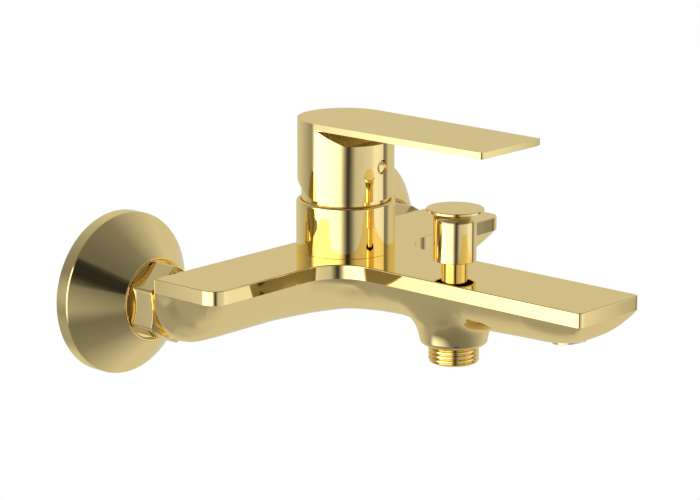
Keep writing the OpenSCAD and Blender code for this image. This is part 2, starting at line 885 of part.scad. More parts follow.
module wall_flange(side) {
  lip = 0.9;
  cone_r = flange_mouth_r + lip;
  slope = (flange_r - cone_r) / (flange_h - flange_rim);
  edge = 0.5;
  inner_h = flange_h - (flange_t - lip) / slope;
  color(brass_gold)
    at_inlet(side) {
      rotate_extrude()
        polygon([
          [flange_r, 0],
          [flange_r, flange_rim - edge],
          [flange_r - 0.15, flange_rim - 0.15],
          [flange_r - edge, flange_rim + edge / slope],
          [cone_r, flange_h - 0.2],
          [cone_r - 0.45, flange_h],
          [flange_mouth_r, flange_h - 0.2],
          [flange_mouth_r, inner_h],
          [flange_r - flange_t, flange_rim - 0.4],
          [flange_r - flange_t, 0]
        ]);
      tube(flange_r - slope * (hub_y + hub_l - flange_rim) - flange_t + 0.6, union_thread_r + thread_gap,
        hub_y + hub_l - 1.5, hub_y + hub_l);
      tube(union_thread_r + 2.2, union_thread_r + thread_gap, hub_y, hub_y + hub_l);
    }
}

module eccentric_union(side) {
  color(brass_gold)
    at_inlet(side)
      difference() {
        union() {
          translate([0, -union_offset, 0]) rod(wall_thread_r, -wall_thread_l, hex_y + cut);
          translate([0, -union_offset, 0]) hexagon(union_hex_af, hex_y, hex_y + hex_h);
          rod(union_thread_r, hex_y + hex_h - cut, washer_y);
        }
        translate([0, -union_offset, 0]) rod(union_bore_r, -wall_thread_l - cut, hex_y + hex_h + 2);
        rod(union_bore_r + 1, hex_y + hex_h, washer_y + cut);
      }
}

module union_nut(side) {
  corner_r = nut_af / 2 / cos(30) - 0.3;
  bevel = 1.1;
  lip_z = nut_back + nut_h - nut_lip;
  color(brass_gold)
    at_inlet(side)
      difference() {
        intersection() {
          hexagon(nut_af, nut_back, nut_back + nut_h);
          rotate_extrude()
            polygon([
              [0, nut_back],
              [corner_r - bevel, nut_back],
              [corner_r, nut_back + bevel],
              [corner_r, nut_back + nut_h - bevel],
              [corner_r - 2 * bevel, nut_back + nut_h],
              [0, nut_back + nut_h]
            ]);
        }
        rod(union_thread_r + thread_gap, nut_back - cut, lip_z);
        rod(seat_neck_r + 0.1, lip_z - cut, nut_back + nut_h + cut);
      }
}

module union_washer(side) {
  color(rubber_black) at_inlet(side) tube(union_thread_r - 0.2, union_bore_r + 1, washer_y, washer_y + washer_t);
}

module inlet_seat(side) {
  color(brass_gold)
    at_inlet(side)
      difference() {
        union() {
          rod(union_thread_r - 0.4, washer_y + washer_t, seat_top);
          rod(seat_neck_r, washer_y + washer_t, deck_back - inlet_boss_h);
          rod(seat_thread_r, washer_y + washer_t, deck_back - inlet_boss_h + seat_thread_l - 0.5);
        }
        rod(seat_bore_r, washer_y, deck_back + seat_thread_l);
      }
}

// ---- diverter ----

module diverter_knob() {
  flare = knob_cap_r - knob_r;
  cap_z = knob_top - 0.5;
  rim_z = cap_z - 0.8;
  hollow_top = bush_top + 2.4;
  color(brass_gold)
    at_diverter()
      difference() {
        rotate_extrude()
          polygon([
            [0, knob_z],
            [knob_r, knob_z],
            for (a = [180:-10:100]) [knob_cap_r + flare * cos(a), rim_z - 1.4 * flare + 1.4 * flare * sin(a)],
            [knob_cap_r, rim_z],
            [knob_cap_r, cap_z],
            [knob_cap_r - 0.6, cap_z + 0.3],
            [knob_cap_r / 2, knob_top - 0.05],
            [0, knob_top]
          ]);
        rod(knob_r - knob_wall, knob_z - cut, hollow_top);
        rod(rod_r + thread_gap / 2, knob_z, knob_top - 2.4);
      }
}

module diverter_rod() {
  color(steel)
    at_diverter()
      difference() {
        rod(rod_r, valve_z + valve_t / 4, knob_top - 2.5);
        tube(rod_r + cut, rod_r - 0.5, cavity_z + 1.5, cavity_z + 2.3);
      }
}

module diverter_bush() {
  color(brass_gold)
    at_diverter()
      difference() {
        rod(bush_r, bush_bottom, bush_top);
        rod(rod_r + run_gap, bush_bottom - cut, bush_top);
        rod(rod_r + 1.5, bush_bottom + 1.4, bush_bottom + 3.2);
        rod(bush_r - 1.1, cavity_z, gland_z);
        rod(bush_r - 0.9, gland_z, bush_top + cut);
      }
}

module diverter_gland() {
  color(brass_gold)
    at_diverter()
      difference() {
        union() {
          rod(bush_r - 0.94, gland_z, bush_top);
          rod(bush_r - 0.1, bush_top, bush_top + 0.9);
        }
        rod(rod_r + run_gap, gland_z - cut, bush_top + 2);
      }
}

module spring_clip() {
  color(steel) at_diverter() tube(rod_r + 1, rod_r - 0.48, cavity_z + 1.52, cavity_z + 2.28);
}

module rod_seal() {
  color(rubber_black) at_diverter() tube(rod_r + 1.48, rod_r + 0.08, bush_bottom + 1.45, bush_bottom + 3.15);
}

module diverter_valve() {
  color(rubber_black) at_diverter() tube(diverter_r - 1.1, rod_r + 0.02, valve_z, valve_z + valve_t);
}

module valve_screw() {
  color(steel)
    at_diverter() {
      rod(rod_r - 0.3, valve_z - 0.1, valve_z + valve_t / 4);
      rod(rod_r + 0.9, valve_z - 1.6, valve_z);
    }
}

module upper_seat_ring() {
  color(brass_gold) at_diverter() tube(diverter_r - 0.03, seat_r, upper_seat_z, upper_seat_top - 0.02);
}

// A coil spring as one swept tube round the Z axis
module coil(r, wire_r, z0, z1, turns) {
  sides = 6;
  steps = round(turns * 14);
  centres = [
    for (k = [0:steps])
      [360 * turns * k / steps, z0 + wire_r + (z1 - z0 - 2 * wire_r) * k / steps]
  ];
  rings = [
    for (c = centres)
      for (m = [0:sides - 1])
        let (b = 360 * m / sides, d = r + wire_r * cos(b))
          [d * cos(c[0]), d * sin(c[0]), c[1] + wire_r * sin(b)]
  ];
  sleeve = [
    for (k = [0:steps - 1])
      for (m = [0:sides - 1])
        let (a = k * sides, n = (m + 1) % sides)
          for (face = [
            [a + m, a + sides + m, a + sides + n],
            [a + m, a + sides + n, a + n]
          ]) face
  ];
  first_end = [[for (m = [0:sides - 1]) m]];
  second_end = [[for (m = [sides - 1:-1:0]) steps * sides + m]];
  polyhedron(points = rings, faces = concat(sleeve, first_end, second_end), convexity = 8);
}

module diverter_spring() {
  color(steel)
    at_diverter() coil(rod_r + 1, 0.45, cavity_z + 2.32, gland_z - 0.04, 5);
}

// ---- shower outlet ----

module shower_nipple() {
  chamfer = 0.8;
  neck_z = boss_z - thread_neck / 9;
  color(brass_gold)
    at_diverter()
      difference() {
        union() {
          rod(outlet_thread_r - 0.9, nipple_z + chamfer, boss_z);
          rotate_extrude()
            polygon([
              [0, nipple_z],
              [outlet_thread_r - chamfer, nipple_z],
              [outlet_thread_r, nipple_z + chamfer],
              [outlet_thread_r, neck_z - thread_neck],
              [0, neck_z - thread_neck]
            ]);
          rod(nipple_top_r, boss_z - cut, nipple_top - 0.05);
        }
        rod(nipple_bore_r, nipple_z - cut, check_top + 0.05);
        rod(seat_r - 0.7, nipple_z, nipple_top + cut);
      }
}

module check_valve_body() {
  web_z = check_top - check_h;
  color(plastic_grey)
    at_diverter()
      difference() {
        rod(check_r, web_z, check_top);
        rod(check_r - 1, web_z + 1, check_top - check_seat_t);
        rod(3.4, web_z + 2, check_top + cut);
        rod(1.2 + run_gap, web_z - cut, web_z + 2);
        for (a = [0:60:300]) {
          rotate([0, 0, a]) translate([3.7, 0, 0]) rod(1.2, web_z - cut, web_z + 2);
        }
      }
}

module check_valve_poppet() {
  top = check_top - check_seat_t - face_gap;
  color(plastic_grey)
    at_diverter() {
      rod(4.4, top - 1.5, top);
      rod(1.2, check_top - check_h - 0.3, top - 1);
    }
}

module check_valve_spring() {
  top = check_top - check_seat_t - face_gap - 1.5;
  color(steel) at_diverter() coil(2.6, 0.3, check_top - check_h + 1.02, top - 0.02, 4);
}

// ---- aerator ----

module aerator_housing() {
  step = 2.2;
  color(brass_gold)
    at_aerator()
      difference() {
        union() {
          rod(aerator_r, 0, step + cut);
          rod(aerator_thread_r, step, aerator_h);
        }
        rod(aerator_r - 0.85, -cut, aerator_h + cut);
      }
}

module aerator_insert() {
  r = aerator_r - 0.9;
  cell = 1.5;
  color(plastic_grey)
    at_aerator()
      difference() {
        rod(r, 0.5, aerator_h - 1.5);
        for (q = [-3:3]) {
          for (p = [-3:3]) {
            x = cell * (q + p / 2) * 1.1;
            y = cell * p * 0.95;
            if (norm([x, y]) < r - 1) {
              translate([x, y, 0]) hexagon(cell * 0.85, 0, aerator_h);
            }
          }
        }
      }
}

module aerator_seal() {
  color(rubber_black) at_aerator() tube(aerator_thread_r - 0.1, aerator_r - 1, aerator_h, aerator_h + 1.3);
}

body_casting();
collar();
cartridge_cover();
handle_lever();
index_plug();
handle_grub_screw();
cartridge_nut();
cartridge_housing();
cartridge_rotor();
cartridge_spindle();
pivot_pin();
disc_carrier();
moving_disc();
fixed_disc();
cartridge_base();
cartridge_seals();
wall_flange(-1);  // wall_flange_left
wall_flange(1);  // wall_flange_right
eccentric_union(-1);  // eccentric_union_left
eccentric_union(1);  // eccentric_union_right
union_nut(-1);  // union_nut_left
union_nut(1);  // union_nut_right
union_washer(-1);  // union_washer_left
union_washer(1);  // union_washer_right
inlet_seat(-1);  // inlet_seat_left
inlet_seat(1);  // inlet_seat_right
diverter_knob();
diverter_bush();
diverter_gland();
diverter_rod();
spring_clip();
diverter_spring();
rod_seal();
diverter_valve();
valve_screw();
upper_seat_ring();
shower_nipple();
check_valve_body();
check_valve_poppet();
check_valve_spring();
aerator_housing();
aerator_insert();
aerator_seal();
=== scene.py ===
from math import asin, atan2, cos, hypot, pi, radians, sin, sqrt, tan

import bmesh
import bpy
import numpy as np
from mathutils import Matrix, Vector
from mathutils.geometry import tessellate_polygon


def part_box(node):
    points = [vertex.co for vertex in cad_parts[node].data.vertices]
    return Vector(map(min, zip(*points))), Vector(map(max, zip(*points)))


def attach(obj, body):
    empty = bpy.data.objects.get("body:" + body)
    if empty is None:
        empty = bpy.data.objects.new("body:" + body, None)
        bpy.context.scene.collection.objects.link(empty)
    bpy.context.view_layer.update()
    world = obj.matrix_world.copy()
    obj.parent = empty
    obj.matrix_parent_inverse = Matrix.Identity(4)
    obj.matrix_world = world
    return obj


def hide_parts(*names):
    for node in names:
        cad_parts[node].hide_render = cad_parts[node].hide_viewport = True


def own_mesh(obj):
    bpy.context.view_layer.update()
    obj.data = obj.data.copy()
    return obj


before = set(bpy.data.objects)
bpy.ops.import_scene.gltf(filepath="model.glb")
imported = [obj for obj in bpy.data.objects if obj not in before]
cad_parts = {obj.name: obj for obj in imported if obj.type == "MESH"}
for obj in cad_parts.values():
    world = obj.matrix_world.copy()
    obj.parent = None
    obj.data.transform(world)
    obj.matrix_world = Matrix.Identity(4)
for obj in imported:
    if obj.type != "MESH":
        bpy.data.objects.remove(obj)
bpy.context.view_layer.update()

# ---- The camera ----
# A long lens from the user's left, a little above the deck, as for a catalogue picture.

camera_azimuth = radians(-48.458)
camera_elevation = radians(13.903)
camera_roll = radians(0.1256)
camera_distance = 1.17354
camera_target = Vector((0.00551, -0.06, 0.01258))


def outward(azimuth, elevation):
    """The direction at an azimuth, 0 in front and pi / 2 to the right, and an elevation."""
    return (sin(azimuth) * cos(elevation), -cos(azimuth) * cos(elevation), sin(elevation))


def add_object(name, data):
    made = bpy.data.objects.new(name, data)
    bpy.context.scene.collection.objects.link(made)
    return made


towards_camera = Vector(outward(camera_azimuth, camera_elevation))
camera = add_object("catalogue_camera", bpy.data.cameras.new("catalogue_camera"))
camera.data.sensor_width = 36
camera.data.lens = 140.909
camera.data.clip_start = 0.05
camera.data.clip_end = 20
camera.location = camera_target + towards_camera * camera_distance
camera.rotation_mode = "QUATERNION"
camera.rotation_quaternion = (
    (-towards_camera).to_track_quat("-Z", "Y") @ Matrix.Rotation(camera_roll, 3, "Z").to_quaternion()
)
bpy.context.scene.camera = camera

# ---- Body casting ----
# One brass casting, ground and mirror polished, then coated pale gold: a flat T-shaped deck
# with a straight edge band, a rounded hull below it, the cartridge neck and the shower boss.

MM = 0.001


def corners(node):
    """Lowest and highest corner of a CAD node, in millimetres."""
    low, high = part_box(node)
    return np.array(low) / MM, np.array(high) / MM


def mesh_piece(name, points, faces, sharp=32):
    """A new piece from points in millimetres, smooth except along edges sharper than sharp degrees."""
    mesh = bpy.data.meshes.new(name)
    mesh.from_pydata([tuple(float(v) * MM for v in p) for p in points], [], faces)
    shape = bmesh.new()
    shape.from_mesh(mesh)
    bmesh.ops.remove_doubles(shape, verts=shape.verts, dist=1e-7)
    bmesh.ops.dissolve_degenerate(shape, edges=shape.edges, dist=1e-7)
    bmesh.ops.recalc_face_normals(shape, faces=shape.faces)
    shape.to_mesh(mesh)
    shape.free()
    piece = add_object(name, mesh)
    smooth_shading(piece, sharp)
    return piece


def smooth_shading(piece, sharp):
    """Smooth shading that keeps flat faces flat beside small rounded edges."""
    piece.data.shade_smooth()
    piece.data.set_sharp_from_angle(angle=radians(sharp))
    weigh = piece.modifiers.new("even_shading", "WEIGHTED_NORMAL")
    weigh.mode = "FACE_AREA"
    weigh.weight = 100
    weigh.keep_sharp = True


def blend_max(a, b, k):
    """The larger of two heights, with a soft transition k/4 deep where they are equal (2.77
    is close to 4 ln 2)."""
    rate = 2.77 / k
    return np.logaddexp(a * rate, b * rate) / rate


def blend_min(a, b, k):
    return -blend_max(-a, -b, k)


casting_low, casting_high = corners("body_casting")
collar_low, collar_high = corners("collar")
knob_low, knob_high = corners("diverter_knob")
cartridge_y = -(collar_low[1] + collar_high[1]) / 2
diverter_y = -(knob_low[1] + knob_high[1]) / 2
deck_z = collar_low[2]
neck_top = casting_high[2]
bar_half = casting_high[0]
spout_reach = -casting_low[1]

# The deck's outline. Every y here is a distance from the wall.
deck_back = 39.73
bar_front = 74.64
bar_corner_r = 7
back_corner_r = 0.8
spout_half = 19.63
spout_fillet_r = 18
tip_corner_r = 2
fillet_x = spout_half + spout_fillet_r
fillet_y = bar_front + spout_fillet_r
band_z = deck_z - 5.99
edge_round = 0.5

# The bar's hull: rounded to the front and, more tightly, to its ends.
bar_hull = 23.66
front_round = 32.4
end_round = 18.46
end_round_gain = 10
corner_power = 6.5
corner_power_gain = 2.4
root_waist = 0.26
waist_start, waist_span = bar_front - 28, 24
waist_half, waist_fade = fillet_x + 6, 36
bar_fade_start, bar_fade_span = fillet_y - 16, 30

# The spout's hull: a keel that rises to the tip and is deeper at the root.
spout_hull = 14.69
side_power = 2.54
tip_power = 2.84
tip_span = 32.6
tip_loss = 5.58
root_start = 106.7
root_span = 20
root_gain = 0.78
rise_start = 41.75
rise_span = 26.7

# The shower boss: a rounded foot under a flare that runs out into the hull.
boss_z = casting_low[2] + 1.45
boss_r = 14.1
boss_round = 2
boss_flare = 0.00042
boss_power = 3.72
boss_draft = 0.26
side_draft_loss = 0.7
side_start, side_span = 0.66, 0.34
front_flare_loss = 1.5

# How steeply the hull leaves the band, and how softly its forms run into each other.
edge_slope = 2.05
end_slope_gain = 14
boss_slope_gain = 3.2
boss_slope_reach = 9
tip_slope = 1.42
root_blend, flare_blend, edge_blend = 4, 3, 1.5
back_round = 0.4
grinding_reach, grinding_share = 8, 0.85

# The openings.
neck_r = 19.9
neck_wall = 1.4
shoulder_drop = 7.5
chamber_r = 17.55
chamber_drop = 9
bush_hole_r, bush_hole_depth = 5.47, 6.8
nipple_hole_r, nipple_hole_depth = 8.64, 5
aerator_y = 182.2
aerator_z = -3.83
aerator_tilt = radians(8.2)
aerator_hole_r, aerator_hole_depth = 8.35, 8
aerator_side = np.array((0, cos(aerator_tilt), -sin(aerator_tilt)))
aerator_up = np.array((0, sin(aerator_tilt), cos(aerator_tilt)))


def corner_distance(dx, dy, r):
    """Distance inside a corner of radius r, from the distances to its two edges."""
    inside = r - np.hypot(np.maximum(r - dx, 0), np.maximum(r - dy, 0))
    return np.where((dx < r) & (dy < r), inside, np.minimum(dx, dy))


def outline_distance(x, y):
    """Distance inside the deck's T-shaped outline."""
    fillet = np.hypot(fillet_x - x, fillet_y - y) - spout_fillet_r
    tip = corner_distance(spout_half - x, spout_reach - y, tip_corner_r)
    bar = corner_distance(bar_half - x, bar_front - y, bar_corner_r)
    return np.where((x < fillet_x) & (y < fillet_y), fillet, np.where(y >= fillet_y, tip, bar))


def ease(share):
    """A soft step from 0 to 1."""
    share = np.clip(share, 0, 1)
    return share * share * (3 - 2 * share)


def bar_depth(x, y):
    """Depth of the bar's hull, and how far a place is into its end and its front rounding."""
    fillet = np.hypot(fillet_x - x, fillet_y - y) - spout_fillet_r
    gap = np.where(y < fillet_y, np.where(x < fillet_x, fillet, bar_front - y), spout_half - x)
    into_front = np.maximum(front_round - gap, 0) / front_round
    width = end_round + end_round_gain * np.clip(into_front, 0, 1)
    into_end = np.maximum(x - bar_half + width, 0) / width
    power = corner_power + corner_power_gain * ease(2 * np.maximum(into_end, into_front) - 1)
    rho = (into_end**power + into_front**power) ** (1 / power)
    fullness = 1 + (into_end / np.maximum(rho, 1e-3)) ** 4 * ease(1 - 2.5 * into_front)
    inside = bar_hull * np.maximum(1 - rho**2, 0) ** (1 / fullness)
    depth = np.where(rho < 1, inside, bar_hull * (1 - rho**2))
    waist = ease((y - waist_start) / waist_span) * ease((waist_half - x) / waist_fade)
    depth = depth * (1 - root_waist * waist - ease((y - bar_fade_start) / bar_fade_span))
    return depth, into_end, into_front


def spout_depth(x, y):
    """Depth of the spout's hull, whose sides get fuller towards the tip."""
    tip = np.clip((y - spout_reach + tip_span) / tip_span, 0, 1)
    root = np.clip((spout_reach - root_start - y) / root_span, 0, 2)
    keel = spout_hull - (y - spout_reach + rise_start) / rise_span
    keel = keel + root_gain * root**2 - tip_loss * tip**2
    return keel * (1 - (x / spout_half) ** (side_power + tip_power * tip))


def boss_depth(x, y, r):
    """Depth of the boss's flare, r from its axis. The flare's radius grows with the height
    over the foot, by a power and a draft; a few Newton steps turn that round."""
    spread = np.maximum(r - boss_r, 0)
    sideways = ease((x / np.maximum(r, 1e-3) - side_start) / side_span)
    draft = boss_draft * (1 - side_draft_loss * sideways)
    height = (spread / boss_flare) ** (1 / boss_power)
    for _ in range(4):
        lean = boss_flare * boss_power * height ** (boss_power - 1) + draft
        height = height - (boss_flare * height**boss_power + draft * height - spread) / lean
    ahead = np.clip((y - diverter_y) / np.maximum(r, 1e-3), 0, 1)
    return band_z - boss_z - boss_round - height - front_flare_loss * ahead**2 * spread


def cast_depth(x, y):
    """Depth of the hull as cast below the band, x from the middle and y from the wall."""
    x, y = np.abs(np.asarray(x, float)), np.asarray(y, float)
    r = np.hypot(x, y - diverter_y)
    bar, into_end, into_front = bar_depth(x, y)
    depth = blend_max(bar, spout_depth(x, y), root_blend)
    depth = blend_max(depth, boss_depth(x, y, r), flare_blend)
    depth = blend_min(depth, tip_slope * (spout_reach - y), edge_blend)
    steep = edge_slope + end_slope_gain * np.minimum(into_end, 1) * np.clip(1 - into_front, 0, 1) ** 2
    steep = steep + boss_slope_gain * np.clip(1 - (r - boss_r) / boss_slope_reach, 0, 1) ** 1.5
    depth = np.maximum(blend_min(depth, steep * outline_distance(x, y), edge_blend), 0)
    short = back_round - np.clip(y - deck_back, 0, back_round)
    return np.maximum(depth - back_round + np.sqrt(np.maximum(back_round**2 - short**2, 0)), 0)


def hull_depth(x, y):
    """The hull's depth after grinding, which softens its ridges but keeps its edges: a mean
    over three rings of twelve places, which close in near an edge."""
    x, y = np.asarray(x, float), np.asarray(y, float)
    margin = np.minimum(outline_distance(np.abs(x), y), y - deck_back - back_round)
    margin = np.minimum(margin, np.hypot(x, y - diverter_y) - boss_r)
    reach = np.clip(grinding_share * margin, 0, grinding_reach)
    total, weight = cast_depth(x, y), 1
    for share, part in ((0.33, 0.9), (0.66, 0.65), (1.0, 0.35)):
        for k in range(12):
            a = pi * (k + share) / 6
            total = total + part * cast_depth(x + share * reach * cos(a), y + share * reach * sin(a))
            weight += part
    return total / weight


def sweep(start, end, count):
    """Values from start to end in count steps, without the first."""
    return [start + (end - start) * k / count for k in range(1, count + 1)]


# The hull's grid: columns across the deck, rows from the back to the front. Two square
# blocks of it are left open for the shower boss and the aerator.
boss_cells, aerator_cells, edge_cells = 20, 12, 8
spout_columns = boss_cells + edge_cells
bar_rows, tip_rows = 56, 22
spout_rows = (14, 2 * boss_cells, 36, 2 * aerator_cells)
block_half = 17.4
cell = block_half / boss_cells
small_half = aerator_cells * cell
half_columns = [cell * k for k in range(boss_cells + 1)]
half_columns += [
    block_half + (spout_half - block_half) * sin(a) for a in sweep(0, pi / 2, edge_cells)]
half_columns += [spout_half + spout_fillet_r * (1 - cos(a)) for a in sweep(0, pi / 2, 30)]
half_columns += sweep(fillet_x, bar_half - end_round, 24)
half_columns += sweep(bar_half - end_round, bar_half - bar_corner_r, 10)
half_columns += [bar_half - bar_corner_r * (1 - sin(a)) for a in sweep(0, pi / 2, 18)]
columns = [-x for x in half_columns[:0:-1]] + half_columns
middle = len(half_columns) - 1


def round_off(r, past):
    """How far a corner of radius r has curved away, a distance past its start."""
    return r - sqrt(max(r**2 - max(past, 0) ** 2, 0))


def front_edge(x):
    if x < fillet_x:
        return bar_front + round_off(spout_fillet_r, fillet_x - max(x, spout_half))
    return bar_front - round_off(bar_corner_r, x - bar_half + bar_corner_r)


def back_edge(x):
    return deck_back + round_off(back_corner_r, x - bar_half + back_corner_r)


def tip_edge(x):
    return spout_reach - round_off(tip_corner_r, x - spout_half + tip_corner_r)


def column_rows(i):
    """Distances from the wall of all rows in column i."""
    x = abs(columns[i])
    back, front = back_edge(x), front_edge(x)
    rows = [back + (front - back) * (1 - cos(a)) / 2 for a in [0] + sweep(0, pi, bar_rows)]
    if abs(i - middle) > spout_columns:
        return rows
    stops = [fillet_y, diverter_y - block_half, diverter_y + block_half,
             aerator_y - small_half, aerator_y + small_half]
    for start, end, count in zip(stops, stops[1:], spout_rows):
        rows += sweep(start, end, count)
    return rows + [stops[-1] + (tip_edge(x) - stops[-1]) * sin(a) for a in sweep(0, pi / 2, tip_rows)]


hull_x, hull_y, hull_index = [], [], {}
for i in range(len(columns)):
    for j, y in enumerate(column_rows(i)):
        hull_index[i, j] = len(hull_x)
        hull_x.append(columns[i])
        hull_y.append(y)
hull_z = band_z - hull_depth(hull_x, hull_y)
casting_points = [np.array((x, -y, z)) for x, y, z in zip(hull_x, hull_y, hull_z)]
boss_row = bar_rows + spout_rows[0]
aerator_row = boss_row + spout_rows[1] + spout_rows[2]
boss_block = (middle - boss_cells, middle + boss_cells, boss_row, boss_row + 2 * boss_cells)
aerator_block = (
    middle - aerator_cells, middle + aerator_cells, aerator_row, aerator_row + 2 * aerator_cells)


def in_block(i, j, b):
    return b[0] <= i < b[1] and b[2] <= j < b[3]


casting_faces = [
    (hull_index[i, j], hull_index[i, j + 1], hull_index[i + 1, j + 1], hull_index[i + 1, j])
    for (i, j) in hull_index
    if (i, j + 1) in hull_index
    and (i + 1, j + 1) in hull_index
    and not in_block(i, j, boss_block)
    and not in_block(i, j, aerator_block)
]


def add_ring(points):
    """Adds a ring of points to the casting and returns their numbers."""
    start = len(casting_points)
    casting_points.extend(np.array(p, float) for p in points)
    return list(range(start, len(casting_points)))


def extend(ring, points):
    """Adds a ring of points, joins it to an earlier ring with quads and returns its numbers."""
    new_ring = add_ring(points)
    casting_faces.extend(zip(ring, ring[1:] + ring[:1], new_ring[1:] + new_ring[:1], new_ring))
    return new_ring


def on_hull(flat):
    """Points (x, y) with the height of the hull there."""
    depth = hull_depth([p[0] for p in flat], [-p[1] for p in flat])
    return [(p[0], p[1], band_z - d) for p, d in zip(flat, depth)]


def block_edge(b):
    """The grid points round an open block."""
    i0, i1, j0, j1 = b
    walk = [(i, j0) for i in range(i0, i1)] + [(i1, j) for j in range(j0, j1)]
    walk += [(i, j1) for i in range(i1, i0, -1)] + [(i0, j) for j in range(j1, j0, -1)]
    return [hull_index[p] for p in walk]


# The flare and foot of the shower boss.
ring = block_edge(boss_block)
outer = [casting_points[n][:2].copy() for n in ring]
angles = [atan2(y + diverter_y, x) for x, y in outer]
inner = [np.array((boss_r * cos(a), boss_r * sin(a) - diverter_y)) for a in angles]
crowding = radians(60)
for a in sweep(crowding, 0, 16):
    share = (1 - cos(a)) / (1 - cos(crowding))
    ring = extend(ring, on_hull([p + (q - p) * share for p, q in zip(inner, outer)]))
boss_profile = [
    (boss_r - boss_round * (1 - cos(a)), boss_z + boss_round * (1 - sin(a)))
    for a in sweep(0, pi / 2, 9)]
boss_profile += [(nipple_hole_r, boss_z), (nipple_hole_r, boss_z + nipple_hole_depth)]
for r, z in boss_profile:
    ring = extend(ring, [
        (p[0] * r / boss_r, (p[1] + diverter_y) * r / boss_r - diverter_y, z) for p in inner])
casting_faces.append(tuple(ring))

# The tilted bore for the aerator, whose mouth lies on the hull.
ring = block_edge(aerator_block)
outer = [casting_points[n][:2].copy() for n in ring]
bore = []
for x, y in outer:
    a = atan2(y + aerator_y, x)
    around = cos(a) * np.array((1, 0, 0)) + sin(a) * aerator_side
    bore.append(np.array((0, -aerator_y, aerator_z)) + aerator_hole_r * around)
mouth = []
for p in bore:
    lift = 0.0
    for _ in range(12):
        q = p + lift * aerator_up
        lift += (band_z - hull_depth(q[0], -q[1]) - q[2]) / aerator_up[2]
    mouth.append(q)
for share in sweep(1, 0, 7):
    ring = extend(ring, on_hull([p[:2] + (q - p[:2]) * share for p, q in zip(mouth, outer)]))
ring = extend(ring, [p + 0.3 * aerator_up for p in mouth])
ring = extend(ring, [p + aerator_hole_depth * aerator_up for p in bore])
casting_faces.append(tuple(ring))

# The straight band and the rounded top edge, on the grid's outer edge.
last = len(columns) - 1
left, right = middle - spout_columns, middle + spout_columns
tip_row = bar_rows + sum(spout_rows) + tip_rows
outline = [(i, 0) for i in range(last, 0, -1)] + [(0, j) for j in range(bar_rows)]
outline += [(i, bar_rows) for i in range(left)] + [(left, j) for j in range(bar_rows, tip_row)]
outline += [(i, tip_row) for i in range(left, right)]
outline += [(right, j) for j in range(tip_row, bar_rows, -1)]
outline += [(i, bar_rows) for i in range(right, last)] + [(last, j) for j in range(bar_rows, 0, -1)]
hull_ring = [hull_index[p] for p in outline]
plan = np.array([casting_points[n][:2] for n in hull_ring])
ahead = np.roll(plan, -1, axis=0) - plan
ahead /= np.linalg.norm(ahead, axis=1)[:, None]
turn = ahead + np.roll(ahead, 1, axis=0)
turn /= np.linalg.norm(turn, axis=1)[:, None]
inward = np.stack((-turn[:, 1], turn[:, 0]), axis=1)


def deck_ring(inset, z):
    return [(*(p + n * inset), z) for p, n in zip(plan, inward)]


ring = extend(hull_ring, deck_ring(0, band_z))
for a in [0] + sweep(0, pi / 2, 7):
    ring = extend(ring, deck_ring(edge_round * (1 - cos(a)), deck_z - edge_round * (1 - sin(a))))


def turned_rings(centre_y, profile, count=96):
    """Rings of the casting round a vertical axis, closed at the last; returns the first."""
    first = ring = None
    angles = [2 * pi * k / count for k in range(count)]
    for r, z in profile:
        points = [(r * cos(a), r * sin(a) - centre_y, z) for a in angles]
        ring = extend(ring, points) if ring else add_ring(points)
        first = first or ring
    casting_faces.append(tuple(ring))
    return first


neck_bore_r, shoulder_z = neck_r - neck_wall, neck_top - shoulder_drop
neck = turned_rings(cartridge_y, [
    (neck_r, deck_z), (neck_r, neck_top), (neck_bore_r, neck_top), (neck_bore_r, shoulder_z),
    (chamber_r, shoulder_z), (chamber_r, deck_z - chamber_drop),
])
bush_hole = turned_rings(diverter_y, [(bush_hole_r, deck_z), (bush_hole_r, deck_z - bush_hole_depth)], 64)
rings = [ring, neck, bush_hole]
flat_points = [n for r in rings for n in r]
fills = tessellate_polygon([[Vector(casting_points[n]) for n in r] for r in rings])
casting_faces.extend(tuple(flat_points[k] for k in f) for f in fills)

casting = mesh_piece("body_casting_shell", casting_points, casting_faces)
for edge in casting.data.edges:
    heights = [casting.data.vertices[v].co.z / MM for v in edge.vertices]
    if max(abs(z - band_z) for z in heights) < 0.002:
        edge.use_edge_sharp = True


def srgb(hex_colour):
    """Linear colour of an sRGB hex value."""
    parts = [int(hex_colour[k:k + 2], 16) / 255 for k in (1, 3, 5)]
    return tuple(v / 12.92 if v <= 0.04045 else ((v + 0.055) / 1.055) ** 2.4 for v in parts) + (1,)


def add_node(tree, kind, settings=None, inputs=None):
    """A node with its settings and its inputs. Each input is a value, another node's socket,
    or another node, which gives its first output."""
    made = tree.nodes.new(kind)
    for key, value in (settings or {}).items():
        setattr(made, key, value)
    for key, value in (inputs or {}).items():
        value = value.outputs[0] if isinstance(value, bpy.types.Node) else value
        if isinstance(value, bpy.types.NodeSocket):
            tree.links.new(value, made.inputs[key])
        else:
            made.inputs[key].default_value = value
    return made


def new_material(name):
    """An empty material; returns it with its node tree."""
    material = bpy.data.materials.new(name)
    material.use_nodes = True
    material.node_tree.nodes.clear()
    return material, material.node_tree


